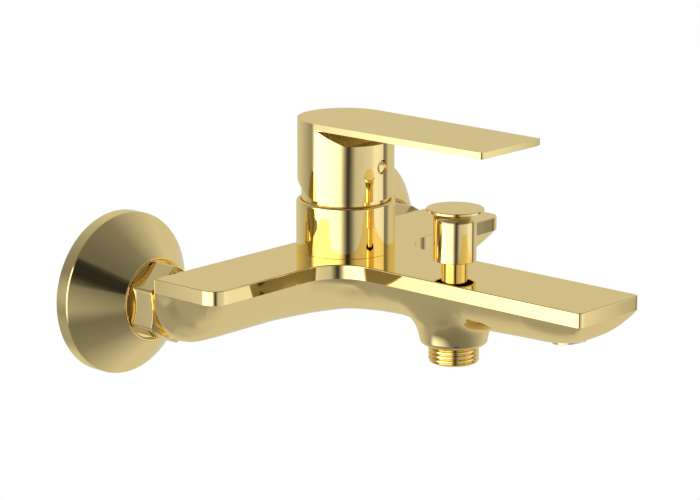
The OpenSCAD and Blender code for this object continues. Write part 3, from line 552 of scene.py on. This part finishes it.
def gold_coated_brass():
    """Mirror polished brass under a pale gold vapour-deposited coat. The coat is a metal film,
    so it mirrors everything in a light yellow. Polishing leaves a very faint swell, about
    11 mm wide, and a haze that changes over 2.5 mm."""
    material, tree = new_material("gold_coated_brass")
    where = add_node(tree, "ShaderNodeTexCoord").outputs["Object"]
    swell = add_node(tree, "ShaderNodeTexNoise", inputs={
        "Vector": where, "Scale": 1 / (100 / 9 * MM), "Detail": 1})
    haze = add_node(tree, "ShaderNodeTexNoise", inputs={
        "Vector": where, "Scale": 1 / (2.5 * MM), "Detail": 3})
    rough = add_node(tree, "ShaderNodeMapRange", inputs={"Value": haze, "To Min": 0.012, "To Max": 0.035})
    bump = add_node(tree, "ShaderNodeBump", inputs={
        "Height": swell, "Strength": 0.02, "Distance": 0.4 * MM})
    metal = add_node(tree, "ShaderNodeBsdfPrincipled", inputs={
        "Base Color": srgb("#FFE8A5"), "Specular Tint": srgb("#FFF7DB"), "Metallic": 1.0,
        "Roughness": rough, "Normal": bump})
    add_node(tree, "ShaderNodeOutputMaterial", inputs={"Surface": metal})
    return material


gold = gold_coated_brass()


def dress(piece, material, node, body="faucet_body"):
    """Gives a piece its material, body and slot, and hides the CAD node it stands for."""
    piece.data.materials.clear()
    piece.data.materials.append(material)
    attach(piece, body)
    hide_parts(node)


dress(casting, gold, "body_casting")


def rounded(path, closed=False, steps=6):
    """A path with its corners rounded. Each point is (x, z) or (x, z, corner radius)."""
    out, n = [], len(path)
    for k, point in enumerate(path):
        here = Vector(point[:2])
        r = point[2] if len(point) > 2 else 0
        if not r or (not closed and k in (0, n - 1)):
            out.append(tuple(here))
            continue
        before = (Vector(path[k - 1][:2]) - here).normalized()
        after = (Vector(path[(k + 1) % n][:2]) - here).normalized()
        half = before.angle(after) / 2
        centre = here + (before + after).normalized() * (r / sin(half))
        start, end = here + before * (r / tan(half)), here + after * (r / tan(half))
        a0 = atan2(*(start - centre).yx)
        turn = (atan2(*(end - centre).yx) - a0 + pi) % (2 * pi) - pi
        out += [
            (centre.x + r * cos(a0 + turn * m / steps), centre.y + r * sin(a0 + turn * m / steps))
            for m in range(steps + 1)
        ]
    return out


UPRIGHT = Matrix.Identity(3)
FROM_WALL = Matrix(((1, 0, 0), (0, 0, -1), (0, 1, 0)))


def turned(name, profile, place, frame3=UPRIGHT, count=128, sharp=32, shape=None):
    """A lathe-turned piece. The profile is a closed path of (radius, height), in millimetres;
    where it touches the axis, the piece is solid there. A shape function of radius, height and
    angle can cut threads or flats into it by returning a new radius."""
    points, faces, rings = [], [], []
    for r, z in profile:
        if r < 1e-6:
            rings.append([len(points)] * count)
            points.append(Vector((0, 0, z)))
            continue
        rings.append(list(range(len(points), len(points) + count)))
        for k in range(count):
            a = 2 * pi * k / count
            reach = shape(r, z, a) if shape else r
            points.append(Vector((reach * cos(a), reach * sin(a), z)))
    for a, b in zip(rings, rings[1:] + rings[:1]):
        for k in range(count):
            m = (k + 1) % count
            face = list(dict.fromkeys((a[k], a[m], b[m], b[k])))
            if len(face) > 2:
                faces.append(tuple(face))
    points = [frame3 @ p + Vector(place) for p in points]
    return mesh_piece(name, points, faces, sharp)


inlet_x = sum(corners("union_nut_right")[k][0] for k in (0, 1)) / 2
inlet_bore_r, inlet_boss_r = 9.6, 12
boss_face, boss_root = -casting_high[1], deck_back + 1
inlet_profile = rounded([
    (inlet_bore_r, boss_face), (inlet_boss_r, boss_face, 0.5), (inlet_boss_r, boss_root),
    (inlet_bore_r, boss_root)], True)
for side, word in ((-1, "left"), (1, "right")):
    boss = turned(f"inlet_boss_{word}", inlet_profile, (side * inlet_x, 0, 0), FROM_WALL)
    dress(boss, gold, "body_casting")

# ---- Collar and domed cover ----
# The collar is a turned brass sleeve that slips over the neck. The domed cover screws onto
# the cartridge nut and fills the gap below the handle. Both are coated like the casting.

collar_r = collar_high[0]
collar_top = collar_high[2]
collar_bore_r = neck_r + 0.05
collar_foot = neck_top + 0.05
cover_low, cover_high = corners("cartridge_cover")
cover_r = cover_high[0]
cover_t = 1.3
cover_thread_r = 17.04
cover_hole_r = cover_r + 0.35
pivot_z = collar_top + 3.1
cartridge_axis = (0, -cartridge_y, 0)

collar = turned("collar_sleeve", rounded([
    (collar_bore_r, deck_z), (collar_r, deck_z, 0.15), (collar_r, collar_top, 1.3),
    (cover_hole_r, collar_top, 0.3), (cover_hole_r, collar_foot), (collar_bore_r, collar_foot),
], True), cartridge_axis, count=160)
dress(collar, gold, "collar")


def dome(r, angles):
    return [(r * cos(a), pivot_z + r * sin(a)) for a in angles]


rim_rise = cover_high[2] - pivot_z
inner_r = cover_r - cover_t
inner_angle = asin(rim_rise / inner_r)
cover_profile = [(cover_thread_r, cover_low[2]), (cover_r, cover_low[2])]
cover_profile += dome(cover_r, [0] + sweep(0, asin(rim_rise / cover_r), 10))
cover_profile += dome(inner_r, [inner_angle] + sweep(inner_angle, 0, 8))
cover_profile += [(cover_thread_r, pivot_z - 1.4)]
cover = turned("domed_cover", cover_profile, cartridge_axis, count=160)
dress(cover, gold, "cartridge_cover")

# ---- Handle ----
# A die-cast lever with a round head, a wedge cut under its root and a flat blade. It sits on
# the cartridge's square spindle, held by a grub screw behind a small recessed plug.

handle = add_object("lever_handle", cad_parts["handle_lever"].data.copy())
shape = bmesh.new()
shape.from_mesh(handle.data)
bmesh.ops.remove_doubles(shape, verts=shape.verts, dist=2e-6)
bmesh.ops.dissolve_limit(
    shape, angle_limit=radians(0.2), verts=shape.verts, edges=shape.edges, delimit=set())
bmesh.ops.recalc_face_normals(shape, faces=shape.faces)
shape.to_mesh(handle.data)
shape.free()
soft_edges = handle.modifiers.new("soft_edges", "BEVEL")
soft_edges.width = 0.65 * MM
soft_edges.segments = 4
soft_edges.limit_method = "ANGLE"
soft_edges.angle_limit = radians(25)
smooth_shading(handle, 40)
dress(handle, gold, "handle_lever", "lever")


def grained_material(name, grain, detail, rough, relief, inputs, cloud=None):
    """A material with a grain so many millimetres wide, which varies its roughness between
    two values, raises its surface by a strength and a height in millimetres, and may cloud
    its base colour with another."""
    material, tree = new_material(name)
    where = add_node(tree, "ShaderNodeTexCoord").outputs["Object"]
    noise = add_node(tree, "ShaderNodeTexNoise", inputs={
        "Vector": where, "Scale": 1 / (grain * MM), "Detail": detail})
    inputs["Roughness"] = add_node(tree, "ShaderNodeMapRange", inputs={
        "Value": noise, "To Min": rough[0], "To Max": rough[1]})
    if relief:
        inputs["Normal"] = add_node(tree, "ShaderNodeBump", inputs={
            "Height": noise, "Strength": relief[0], "Distance": relief[1] * MM})
    if cloud:
        inputs["Base Color"] = add_node(tree, "ShaderNodeMix", {"data_type": "RGBA"}, {
            0: noise, 6: inputs["Base Color"], 7: cloud}).outputs[2]
    body = add_node(tree, "ShaderNodeBsdfPrincipled", inputs=inputs)
    add_node(tree, "ShaderNodeOutputMaterial", inputs={"Surface": body})
    return material


def blasted_gold_coat():
    """The same coat over a die-cast hollow that a polishing wheel can't reach, which is only
    bead blasted. Pits of about 0.2 mm spread its reflections into a soft sheen."""
    return grained_material("bead_blasted_gold_coat", 0.2, 2, (0.4, 0.55), (0.1, 0.02), {
        "Base Color": srgb("#FFF0C4"), "Specular Tint": srgb("#FFF7DB"), "Metallic": 1.0})


# The hollow is cut into the front of the head, below the blade and above the dome.
blade_top = corners("handle_lever")[1][2]
handle.data.materials.append(blasted_gold_coat())
for face in handle.data.polygons:
    x, y, z = face.center / MM
    in_head = abs(x) < collar_r - 0.5 and 0.5 < -cartridge_y - y < collar_r - 0.3
    if in_head and face.normal.z > 0.3 and collar_top + 3 < z < blade_top - 4:
        face.material_index = 1

plug_low, plug_high = corners("index_plug")
plug_r = (plug_high[0] - plug_low[0]) / 2
plug_z = (plug_low[2] + plug_high[2]) / 2
plug_face, plug_back = -plug_low[1], -plug_high[1]
dish_depth, dish_steps = 0.5, 8
dish = [
    (plug_r - 0.5 - 0.3 * k, plug_face - dish_depth + dish_depth * (1 - k / dish_steps) ** 2)
    for k in range(dish_steps + 1)]
plug = turned("index_plug_dish", [
    (0, plug_back), (plug_r, plug_back), (plug_r, plug_face - 0.3), (plug_r - 0.15, plug_face - 0.08),
    (plug_r - 0.35, plug_face), *dish, (0, plug_face - dish_depth),
], (0, 0, plug_z), FROM_WALL, count=48)
dress(plug, gold, "index_plug", "lever")

# ---- Wall flanges ----
# Spun and pressed brass roses that hide the wall elbows. Each is a hollow cone on a short
# straight rim, with a rolled lip at its mouth, and a ring inside that threads onto the union.

flange_low, flange_high = corners("wall_flange_right")
flange_r = (flange_high[0] - flange_low[0]) / 2
flange_h = -flange_low[1]
flange_rim = 6.1
flange_t = 1.9
mouth_r = 16.75
lip_r = mouth_r + 0.9
slope = (flange_r - lip_r) / (flange_h - flange_rim)
inner_h = flange_h - 1 / slope
ring_r, ring_low, ring_top, ring_web = 15.42, 8.5, flange_h - 1, 1.5
thread_r = 13.26


def inner_cone(h):
    return mouth_r + slope * (inner_h - h)


flange_profile = rounded([
    (flange_r, 0, 0.1), (flange_r, flange_rim, 0.9), (lip_r, flange_h, 0.4), (mouth_r, flange_h, 0.4),
    (mouth_r, inner_h, 0.3), (inner_cone(ring_top), ring_top), (thread_r, ring_top, 0.2),
    (thread_r, ring_low, 0.2), (ring_r, ring_low, 0.2), (ring_r, ring_top - ring_web, 0.3),
    (inner_cone(ring_top - ring_web), ring_top - ring_web),
    (flange_r - flange_t, flange_rim - 0.4, 0.5), (flange_r - flange_t, 0, 0.1),
], True, 8)
for side, word in ((-1, "left"), (1, "right")):
    rose = turned(f"wall_rose_{word}", flange_profile, (side * inlet_x, 0, 0), FROM_WALL, count=192)
    dress(rose, gold, f"wall_flange_{word}")

# ---- Union nuts ----
# Hexagonal brass nuts with turned corners that pull the faucet onto the wall unions. They
# are coated like the body.

nut_low, nut_high = corners("union_nut_right")
nut_flat = (nut_high[0] - nut_low[0]) / 2
nut_corner = nut_flat / cos(pi / 6) - 0.3
nut_front = -nut_low[1] + 1.3
nut_back = flange_h - 0.9
nut_bevel = 1.1
nut_hole_r, nut_lip = 9.6, 2.9


def six_flats(r, z, a):
    """Limits a radius to a hexagon with slightly soft corners."""
    nearest = (a + pi / 6) % (pi / 3) - pi / 6
    flat = nut_flat / cos(nearest)
    return float(blend_min(r, min(flat, nut_corner + 0.1), 0.12))


def steps_between(path, step):
    """A closed path with its long straight runs divided."""
    out = []
    for (x0, z0), (x1, z1) in zip(path, path[1:] + path[:1]):
        parts = max(1, int(hypot(x1 - x0, z1 - z0) / step))
        out += [(x0 + (x1 - x0) * k / parts, z0 + (z1 - z0) * k / parts) for k in range(parts)]
    return out


nut_profile = steps_between([
    (thread_r, nut_back), (nut_corner - nut_bevel, nut_back), (nut_corner, nut_back + nut_bevel),
    (nut_corner, nut_front - nut_bevel), (nut_corner - 2 * nut_bevel, nut_front), (nut_hole_r, nut_front),
    (nut_hole_r, nut_front - nut_lip), (thread_r, nut_front - nut_lip),
], 0.2)
for side, word in ((-1, "left"), (1, "right")):
    nut = turned(
        f"hexagon_nut_{word}", nut_profile, (side * inlet_x, 0, 0), FROM_WALL,
        count=240, sharp=20, shape=six_flats)
    dress(nut, gold, f"union_nut_{word}")

# ---- Eccentric unions ----
# Turned brass connectors that screw into the wall elbows. Their two ends are offset, so a
# turn of each union adjusts the spacing of the inlets. They are left uncoated.

pipe_pitch = 25.4 / 14
thread_depth = 1.15


def pipe_thread(crest_r, low, high):
    """A shape function that cuts a rounded pipe thread, 14 to the inch, between two heights."""
    def cut(r, z, a):
        if r < crest_r - thread_depth or z < low - 1 or z > high:
            return r
        turns = (z - low) / pipe_pitch - a / (2 * pi)
        return min(r, crest_r - thread_depth * (0.5 - 0.5 * cos(2 * pi * turns)) ** 4)
    return cut


def machined_brass():
    """Brass as it leaves the lathe: a deep yellow metal with a fine haze of tool marks."""
    return grained_material("machined_brass", 2 / 3, 4, (0.2, 0.38), (0.08, 0.02), {
        "Base Color": srgb("#DDBB72"), "Specular Tint": srgb("#FFF2D2"), "Metallic": 1.0})


def moulded_epdm():
    """Black EPDM rubber from a mould: dark and matt, with a grain of about 0.3 mm."""
    return grained_material("moulded_epdm_rubber", 1 / 3.3, 3, (0.55, 0.75), (0.15, 0.03), {
        "Base Color": srgb("#1B1B1C"), "IOR": 1.5})


def refinish(material, *nodes):
    """Gives a material to CAD nodes whose own shape is kept."""
    for node in nodes:
        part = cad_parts[node]
        if not part.material_slots:
            part.data.materials.append(material)
        for place in part.material_slots:
            place.material = material


brass = machined_brass()
rubber = moulded_epdm()
union_low, union_high = corners("eccentric_union_right")
wall_thread_r, wall_end, union_end = 10.48, -union_high[1], -union_low[1]
union_thread_r, union_bore_r, union_offset = 13.22, 7, 6
hexagon_back, hexagon_front, hexagon_flat = 0.3, 6.5, 12
hexagon_corner = 1.12 * hexagon_flat
front_bore_r, thread_root = union_bore_r + 1, 1
wall_profile = steps_between([
    (union_bore_r, wall_end), (wall_thread_r - thread_root, wall_end), (wall_thread_r, wall_end + 1),
    (wall_thread_r, -1.5), (wall_thread_r - thread_root, -1), (wall_thread_r - thread_root, hexagon_back),
    (hexagon_flat, hexagon_back), (hexagon_corner, hexagon_back + 0.8),
    (hexagon_corner, hexagon_front - 0.8), (hexagon_flat, hexagon_front), (union_bore_r, hexagon_front),
], 0.2)
front_profile = steps_between([
    (front_bore_r, hexagon_front), (union_thread_r - thread_root, hexagon_front),
    (union_thread_r - thread_root, hexagon_front + 0.8), (union_thread_r, hexagon_front + 1.6),
    (union_thread_r, union_end - 0.9), (union_thread_r - 0.9, union_end), (front_bore_r, union_end),
], 0.2)
wall_thread = pipe_thread(wall_thread_r, wall_end + 1, -0.9)
front_thread = pipe_thread(union_thread_r, hexagon_front + 1.4, union_end)


def wall_end_shape(r, z, a):
    """The union's wall end: a thread up to the hexagon."""
    nearest = (a + pi / 6) % (pi / 3) - pi / 6
    return wall_thread(r, z, a) if z < hexagon_back else min(r, hexagon_flat / cos(nearest))


for side, word in ((-1, "left"), (1, "right")):
    wall_part = turned(
        f"union_wall_end_{word}", wall_profile, (side * inlet_x, 0, -union_offset), FROM_WALL,
        count=96, sharp=30, shape=wall_end_shape)
    front_part = turned(
        f"union_front_end_{word}", front_profile, (side * inlet_x, 0, 0), FROM_WALL,
        count=96, sharp=50, shape=front_thread)
    for part in (wall_part, front_part):
        dress(part, brass, f"eccentric_union_{word}")
refinish(brass, "inlet_seat_left", "inlet_seat_right")
refinish(rubber, "union_washer_left", "union_washer_right")

# ---- Cartridge ----
# A 35 mm cartridge under the handle. A brass spindle tips in a turning acetal rotor and
# slides one lapped alumina disc over another; a brass nut clamps it into the neck.


def lapped_alumina():
    """White alumina ground flat and lapped: dense, off-white and nearly mirror smooth, with
    clouds of a darker white about 1.7 mm wide."""
    return grained_material("lapped_alumina", 5 / 3, 2, (0.08, 0.16), None, {
        "Base Color": srgb("#F2EFE6"), "IOR": 1.77}, cloud=srgb("#E7E3D8"))


def moulded_acetal():
    """White acetal from a mould: slightly milky, with the mould's fine matt grain."""
    return grained_material("moulded_acetal", 0.25, 2, (0.35, 0.5), (0.06, 0.02), {
        "Base Color": srgb("#DEDEDB"), "IOR": 1.48})


def drawn_stainless_steel():
    """Cold drawn stainless steel for pins, screws and springs: a cool grey metal whose haze
    changes over half a millimetre."""
    return grained_material("drawn_stainless_steel", 0.5, 3, (0.18, 0.32), None, {
        "Base Color": srgb("#C6C6C4"), "Metallic": 1.0})


acetal = moulded_acetal()
steel = drawn_stainless_steel()
refinish(brass, "cartridge_nut", "cartridge_spindle")
refinish(acetal, "cartridge_base", "cartridge_housing", "cartridge_rotor", "disc_carrier")
refinish(lapped_alumina(), "fixed_disc", "moving_disc")
refinish(rubber, "cartridge_seals")
refinish(steel, "pivot_pin", "handle_grub_screw")

# ---- Diverter knob and guide bush ----
# A hollow turned knob with a flared cap is pulled up to send the water to the shower. It
# slides over a plain brass bush that screws into the deck. Both are coated.

knob_cap_r = (knob_high[0] - knob_low[0]) / 2
knob_z, knob_top = knob_low[2], knob_high[2]
knob_r, knob_wall, knob_cap_t = 8.93, 1, 2.4
knob_inner_r = knob_r - knob_wall
flare = knob_cap_r - knob_r
bush_low, bush_high = corners("diverter_bush")
bush_r = (bush_high[0] - bush_low[0]) / 2
bush_z, bush_top = bush_low[2], bush_high[2]
rod_r = 2.5
rod_socket_r, rod_hole_r = rod_r + 0.02, rod_r + 0.06
ceiling_z = bush_top + 2.4
rim_z = knob_top - 1.3
knob_profile = [(rod_socket_r, knob_top - knob_cap_t), (rod_socket_r, ceiling_z)]
knob_profile += rounded([
    (rod_socket_r, ceiling_z), (knob_inner_r, ceiling_z, 0.6), (knob_inner_r, knob_z, 0.2),
    (knob_r, knob_z, 0.25), (knob_r, knob_z + 6)])[1:]
knob_profile += [
    (knob_cap_r - flare * cos(a), rim_z - 1.4 * flare * (1 - sin(a)))
    for a in [0] + sweep(0, radians(80), 16)]
knob_profile += rounded([
    (knob_cap_r - flare * cos(radians(85)), rim_z - 0.01), (knob_cap_r, rim_z, 0.1),
    (knob_cap_r, knob_top - 0.15, 0.45), (knob_cap_r * 0.75, knob_top - 0.03), (0, knob_top)], steps=8)[1:]
knob_profile += [(0, knob_top - knob_cap_t)]
diverter_axis = (0, -diverter_y, 0)
knob = turned("pull_knob", knob_profile, diverter_axis, count=128)
dress(knob, gold, "diverter_knob", "diverter")

# The bush is hollow at its top and has a groove for the rod's seal low in its hole.
hollow_r, hollow_edge_r = bush_r - 1.1, bush_r - 0.9
hollow_z, step_z = deck_z + 0.4, bush_top - 2.5
groove_r, groove_low, groove_high = rod_r + 1.5, bush_z + 1.4, bush_z + 3.2
bush = turned("guide_bush", [
    (rod_hole_r, bush_z), (bush_r, bush_z), (bush_r, bush_top), (hollow_edge_r, bush_top),
    (hollow_edge_r, step_z), (hollow_r, step_z), (hollow_r, hollow_z), (rod_hole_r, hollow_z),
    (rod_hole_r, groove_high), (groove_r, groove_high), (groove_r, groove_low),
    (rod_hole_r, groove_low),
], diverter_axis, count=96)
dress(bush, gold, "diverter_bush")

# ---- Diverter works ----
# A steel rod lifts a two-sided rubber valve from the shower's seat up to the spout's. An
# O-ring in the bush seals the rod. A coil spring between a clip on the rod and the brass
# gland that closes the bush pushes it back down.

refinish(brass, "diverter_gland", "upper_seat_ring")
refinish(steel, "diverter_rod", "spring_clip", "valve_screw")
refinish(rubber, "rod_seal", "diverter_valve")

coil_winder = bpy.data.node_groups.new("coil_spring", "GeometryNodeTree")
coil_inputs = {}
for label, kind in (("Coil radius", "Float"), ("Wire radius", "Float"), ("Length", "Float"),
                    ("Turns", "Float"), ("Place", "Vector"), ("Material", "Material")):
    socket = coil_winder.interface.new_socket(label, in_out="INPUT", socket_type="NodeSocket" + kind)
    coil_inputs[label] = socket.identifier
coil_winder.interface.new_socket("Geometry", in_out="OUTPUT", socket_type="NodeSocketGeometry")
asked = add_node(coil_winder, "NodeGroupInput").outputs
helix = add_node(coil_winder, "GeometryNodeCurveSpiral", inputs={
    "Resolution": 40, "Rotations": asked["Turns"], "Start Radius": asked["Coil radius"],
    "End Radius": asked["Coil radius"], "Height": asked["Length"]})
wire = add_node(coil_winder, "GeometryNodeCurvePrimitiveCircle", inputs={
    "Resolution": 12, "Radius": asked["Wire radius"]})
wound = add_node(coil_winder, "GeometryNodeCurveToMesh", inputs={
    "Curve": helix, "Profile Curve": wire, "Fill Caps": True})
smoothed = add_node(coil_winder, "GeometryNodeSetShadeSmooth", inputs={"Geometry": wound})
placed = add_node(coil_winder, "GeometryNodeTransform", inputs={
    "Geometry": smoothed, "Translation": asked["Place"]})
real = add_node(coil_winder, "GeometryNodeRealizeInstances", inputs={"Geometry": placed})
painted = add_node(coil_winder, "GeometryNodeSetMaterial", inputs={
    "Geometry": real, "Material": asked["Material"]})
add_node(coil_winder, "NodeGroupOutput", inputs={"Geometry": painted})


def coil_spring(name, node, wire_r, turns):
    """A wound spring that fills a CAD spring's box; returns it with its lowest and highest z."""
    low, high = corners(node)
    coil_r = (high[0] - low[0]) / 2 - wire_r
    middle = [(low[k] + high[k]) / 2 for k in (0, 1)]
    blank = add_object(name + "_blank", bpy.data.meshes.new(name + "_blank"))
    winder = blank.modifiers.new("coil_spring", "NODES")
    winder.node_group = coil_winder
    for label, value in (
        ("Coil radius", coil_r * MM), ("Wire radius", wire_r * MM), ("Turns", float(turns)),
        ("Length", (high[2] - low[2] - 2 * wire_r) * MM), ("Material", steel),
        ("Place", (middle[0] * MM, middle[1] * MM, (low[2] + wire_r) * MM)),
    ):
        winder[coil_inputs[label]] = value
    blank.update_tag()
    bpy.context.view_layer.update()
    wound_blank = blank.evaluated_get(bpy.context.evaluated_depsgraph_get())
    spring = add_object(name, bpy.data.meshes.new_from_object(wound_blank))
    bpy.data.objects.remove(blank)
    dress(spring, steel, node)
    return spring, low[2], high[2]


return_spring, spring_z, spring_top = coil_spring("return_coil_spring", "diverter_spring", 0.45, 5)
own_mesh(return_spring)

# ---- Shower outlet nipple ----
# A brass nipple that screws up into the boss. Its G 1/2 male thread takes the nut of the
# shower hose: 14 threads to the inch, rounded at crest and root.

nipple_low, nipple_high = corners("shower_nipple")
nipple_r = (nipple_high[0] - nipple_low[0]) / 2
nipple_z, nipple_top = nipple_low[2], nipple_high[2]
nipple_bore_r, nipple_seat_r, nipple_shank_r = 6.45, 4.8, 8.6
seat_z = nipple_top - 0.75
chamfer, thread_neck, row_h = 0.8, 0.9, 0.11
thread_rows = int((boss_z - nipple_z - chamfer - 0.6) / row_h)
nipple_profile = [(nipple_bore_r, nipple_z + 0.3), (nipple_bore_r + 0.25, nipple_z)]
nipple_profile += [(nipple_r - chamfer + 0.1 * k, nipple_z + 0.1 * k) for k in range(9)]
nipple_profile += [(nipple_r, nipple_z + chamfer + row_h * k) for k in range(1, thread_rows + 1)]
nipple_profile += [
    (nipple_r - thread_neck, boss_z - 0.35), (nipple_r - thread_neck, boss_z), (nipple_shank_r, boss_z),
    (nipple_shank_r, nipple_top), (nipple_seat_r, nipple_top), (nipple_seat_r, seat_z),
    (nipple_bore_r, seat_z)]
nipple = turned(
    "threaded_nipple", nipple_profile, diverter_axis, count=144, sharp=50,
    shape=pipe_thread(nipple_r, nipple_z + 0.9, boss_z))
dress(nipple, gold, "shower_nipple")

# A sprung acetal check valve inside it keeps the shower's water from running back.
refinish(acetal, "check_valve_body", "check_valve_poppet")
poppet_spring, spring_z, spring_top = coil_spring("poppet_coil_spring", "check_valve_spring", 0.3, 4)
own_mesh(poppet_spring)

# ---- Aerator ----
# A turned brass housing screwed up into the tilted bore under the spout's tip. It holds a
# moulded honeycomb insert that mixes air into the water.

aerator_frame = Matrix.Rotation(-aerator_tilt, 3, "X")
aerator_r, aerator_thread_r, aerator_step, aerator_h = 7.15, 8.2, 2.2, 8.5
aerator_bore_r = aerator_r - 0.85
housing = turned("aerator_ring", rounded([
    (aerator_bore_r, 0, 0.25), (aerator_r, 0, 0.3), (aerator_r, aerator_step),
    (aerator_thread_r, aerator_step, 0.2), (aerator_thread_r, aerator_h), (aerator_bore_r, aerator_h),
], True), (0, -aerator_y, aerator_z), aerator_frame, count=96)
dress(housing, gold, "aerator_housing")
refinish(acetal, "aerator_insert")
refinish(rubber, "aerator_seal")

# ---- Studio ----
# A white background and a plain pale floor, well below the part. Polished metal mirrors a
# room of its own, painted on a sphere round the part: grey walls, lamps and black flags.

backdrop_r = 2.0
backdrop_mesh = bpy.data.meshes.new("studio_backdrop")
ball = bmesh.new()
bmesh.ops.create_uvsphere(ball, u_segments=96, v_segments=48, radius=backdrop_r)
ball.to_mesh(backdrop_mesh)
ball.free()
backdrop_mesh.shade_smooth()
backdrop = add_object("studio_backdrop", backdrop_mesh)
backdrop.location = (0, -cartridge_y * MM, deck_z * MM)
backdrop_paint, room = new_material("lit_studio_backdrop")
backdrop_mesh.materials.append(backdrop_paint)
place = add_node(room, "ShaderNodeTexCoord").outputs["Object"]
direction = add_node(room, "ShaderNodeVectorMath", {"operation": "NORMALIZE"}, {0: place})
part = add_node(room, "ShaderNodeSeparateXYZ", inputs={"Vector": direction}).outputs
ahead = add_node(room, "ShaderNodeMath", {"operation": "MULTIPLY"}, {0: part["Y"], 1: -1.0})
turn = add_node(room, "ShaderNodeMath", {"operation": "ARCTAN2"}, {0: part["X"], 1: ahead})
climb = add_node(room, "ShaderNodeMath", {"operation": "ARCSINE"}, {0: part["Z"]})
azimuth, elevation = (
    add_node(room, "ShaderNodeMath", {"operation": "DEGREES"}, {0: angle}) for angle in (turn, climb))

# The bare walls: brightest behind and to the right, darkest in front and to the left.
bright_side = outward(radians(125), radians(-15))
facing = add_node(room, "ShaderNodeVectorMath", {"operation": "DOT_PRODUCT"}, {
    0: direction, 1: bright_side}).outputs["Value"]
walls = add_node(room, "ShaderNodeMapRange", inputs={
    "Value": facing, "From Min": -0.2, "From Max": 0.7, "To Min": 0.24, "To Max": 0.64})
corner = add_node(room, "ShaderNodeMapRange", inputs={
    "Value": facing, "From Min": -0.9, "From Max": -0.2, "To Min": -0.1, "To Max": 0.0})
light = add_node(room, "ShaderNodeMath", {"operation": "ADD"}, {0: walls, 1: corner})


def hung(light, azimuths, elevations, levels, fades, foot_fade=4):
    """Hangs a lamp or flag in the room. Its sides are at two azimuths (0 in front, 90 to the
    right) and its ends at two elevations, in degrees; the level goes from one side's to the
    other's, and the fades are how wide the left, right, top and bottom edges are."""
    cover = None
    for value, place, fade, rising in (
        (azimuth, azimuths[0], fades[0], 1), (azimuth, azimuths[1], fades[1], 0),
        (elevation, elevations[0], foot_fade, 1), (elevation, elevations[1], fades[2], 0),
    ):
        edge = add_node(room, "ShaderNodeMapRange", {"interpolation_type": "SMOOTHSTEP"}, {
            "Value": value, "From Min": place - fade / 2, "From Max": place + fade / 2,
            "To Min": 1.0 - rising, "To Max": float(rising)})
        if cover:
            edge = add_node(room, "ShaderNodeMath", {"operation": "MULTIPLY"}, {0: cover, 1: edge})
        cover = edge
    level = add_node(room, "ShaderNodeMapRange", inputs={
        "Value": azimuth, "From Min": azimuths[0], "From Max": azimuths[1],
        "To Min": levels[0], "To Max": levels[1]})
    return add_node(room, "ShaderNodeMix", inputs={0: cover, 2: light, 3: level})


# A dim field low behind on the left, a grey flag on the right, a black flag in front, the
# front light with its brightest panel, the key light on the left, and a tall black flag.
light = hung(light, (-170, -128), (-66, -32), (0.38, 0.36), (26, 30, 16))
light = hung(light, (44, 66), (-21, 25), (0.2, 0.2), (4, 16, 6))
light = hung(light, (-46, -29), (-37, 9), (0.05, 0.05), (4, 8, 6))
light = hung(light, (-32, 51.1), (-18, 20), (0.56, 0.9), (22, 5, 4))
light = hung(light, (20, 44), (-18, 20), (1.0, 0.92), (14, 6, 4))
light = hung(light, (-128.6, -56.5), (-25, 31), (2.3, 1.42), (20, 21, 4), foot_fade=22)
light = hung(light, (-48.5, -38), (9, 35.5), (0.025, 0.03), (5, 9, 3))

lit_room = add_node(room, "ShaderNodeEmission", inputs={"Color": srgb("#FFFFFF"), "Strength": light})
clear = add_node(room, "ShaderNodeBsdfTransparent")
seen = add_node(room, "ShaderNodeLightPath").outputs["Is Camera Ray"]
look = add_node(room, "ShaderNodeMixShader", inputs={0: seen, 1: lit_room, 2: clear})
add_node(room, "ShaderNodeOutputMaterial", inputs={"Surface": look})

world = bpy.data.worlds.new("white_sweep")
bpy.context.scene.world = world
world.use_nodes = True
world.node_tree.nodes.clear()
sweep_light = add_node(world.node_tree, "ShaderNodeBackground", inputs={
    "Color": srgb("#FFFFFF"), "Strength": 1.0})
add_node(world.node_tree, "ShaderNodeOutputWorld", inputs={"Surface": sweep_light})

# The floor is white to the camera, clear to the metal and, from below, to everything.
floor_half, floor_z = 4, -0.25
floor_mesh = bpy.data.meshes.new("studio_floor")
floor_corners = [(x * floor_half, y * floor_half, floor_z) for x, y in ((-1, -1), (1, -1), (1, 1), (-1, 1))]
floor_mesh.from_pydata(floor_corners, [], [(0, 1, 2, 3)])
floor = add_object("studio_floor", floor_mesh)
floor_paint, paint = new_material("matt_white_floor")
matt = add_node(paint, "ShaderNodeBsdfDiffuse", inputs={"Color": srgb("#E6E6E6"), "Roughness": 1.0})
lit = add_node(paint, "ShaderNodeEmission", inputs={"Color": srgb("#FFFFFF"), "Strength": 1.0})
clear = add_node(paint, "ShaderNodeBsdfTransparent")
rays = add_node(paint, "ShaderNodeLightPath").outputs
below = add_node(paint, "ShaderNodeNewGeometry").outputs["Backfacing"]
floor_look = matt
for ray, shade in ((rays["Is Glossy Ray"], clear), (rays["Is Camera Ray"], lit), (below, clear)):
    floor_look = add_node(paint, "ShaderNodeMixShader", inputs={0: ray, 1: floor_look, 2: shade})
add_node(paint, "ShaderNodeOutputMaterial", inputs={"Surface": floor_look})
floor_mesh.materials.append(floor_paint)
bpy.context.scene.view_settings.view_transform = "Standard"

bpy.context.view_layer.update()
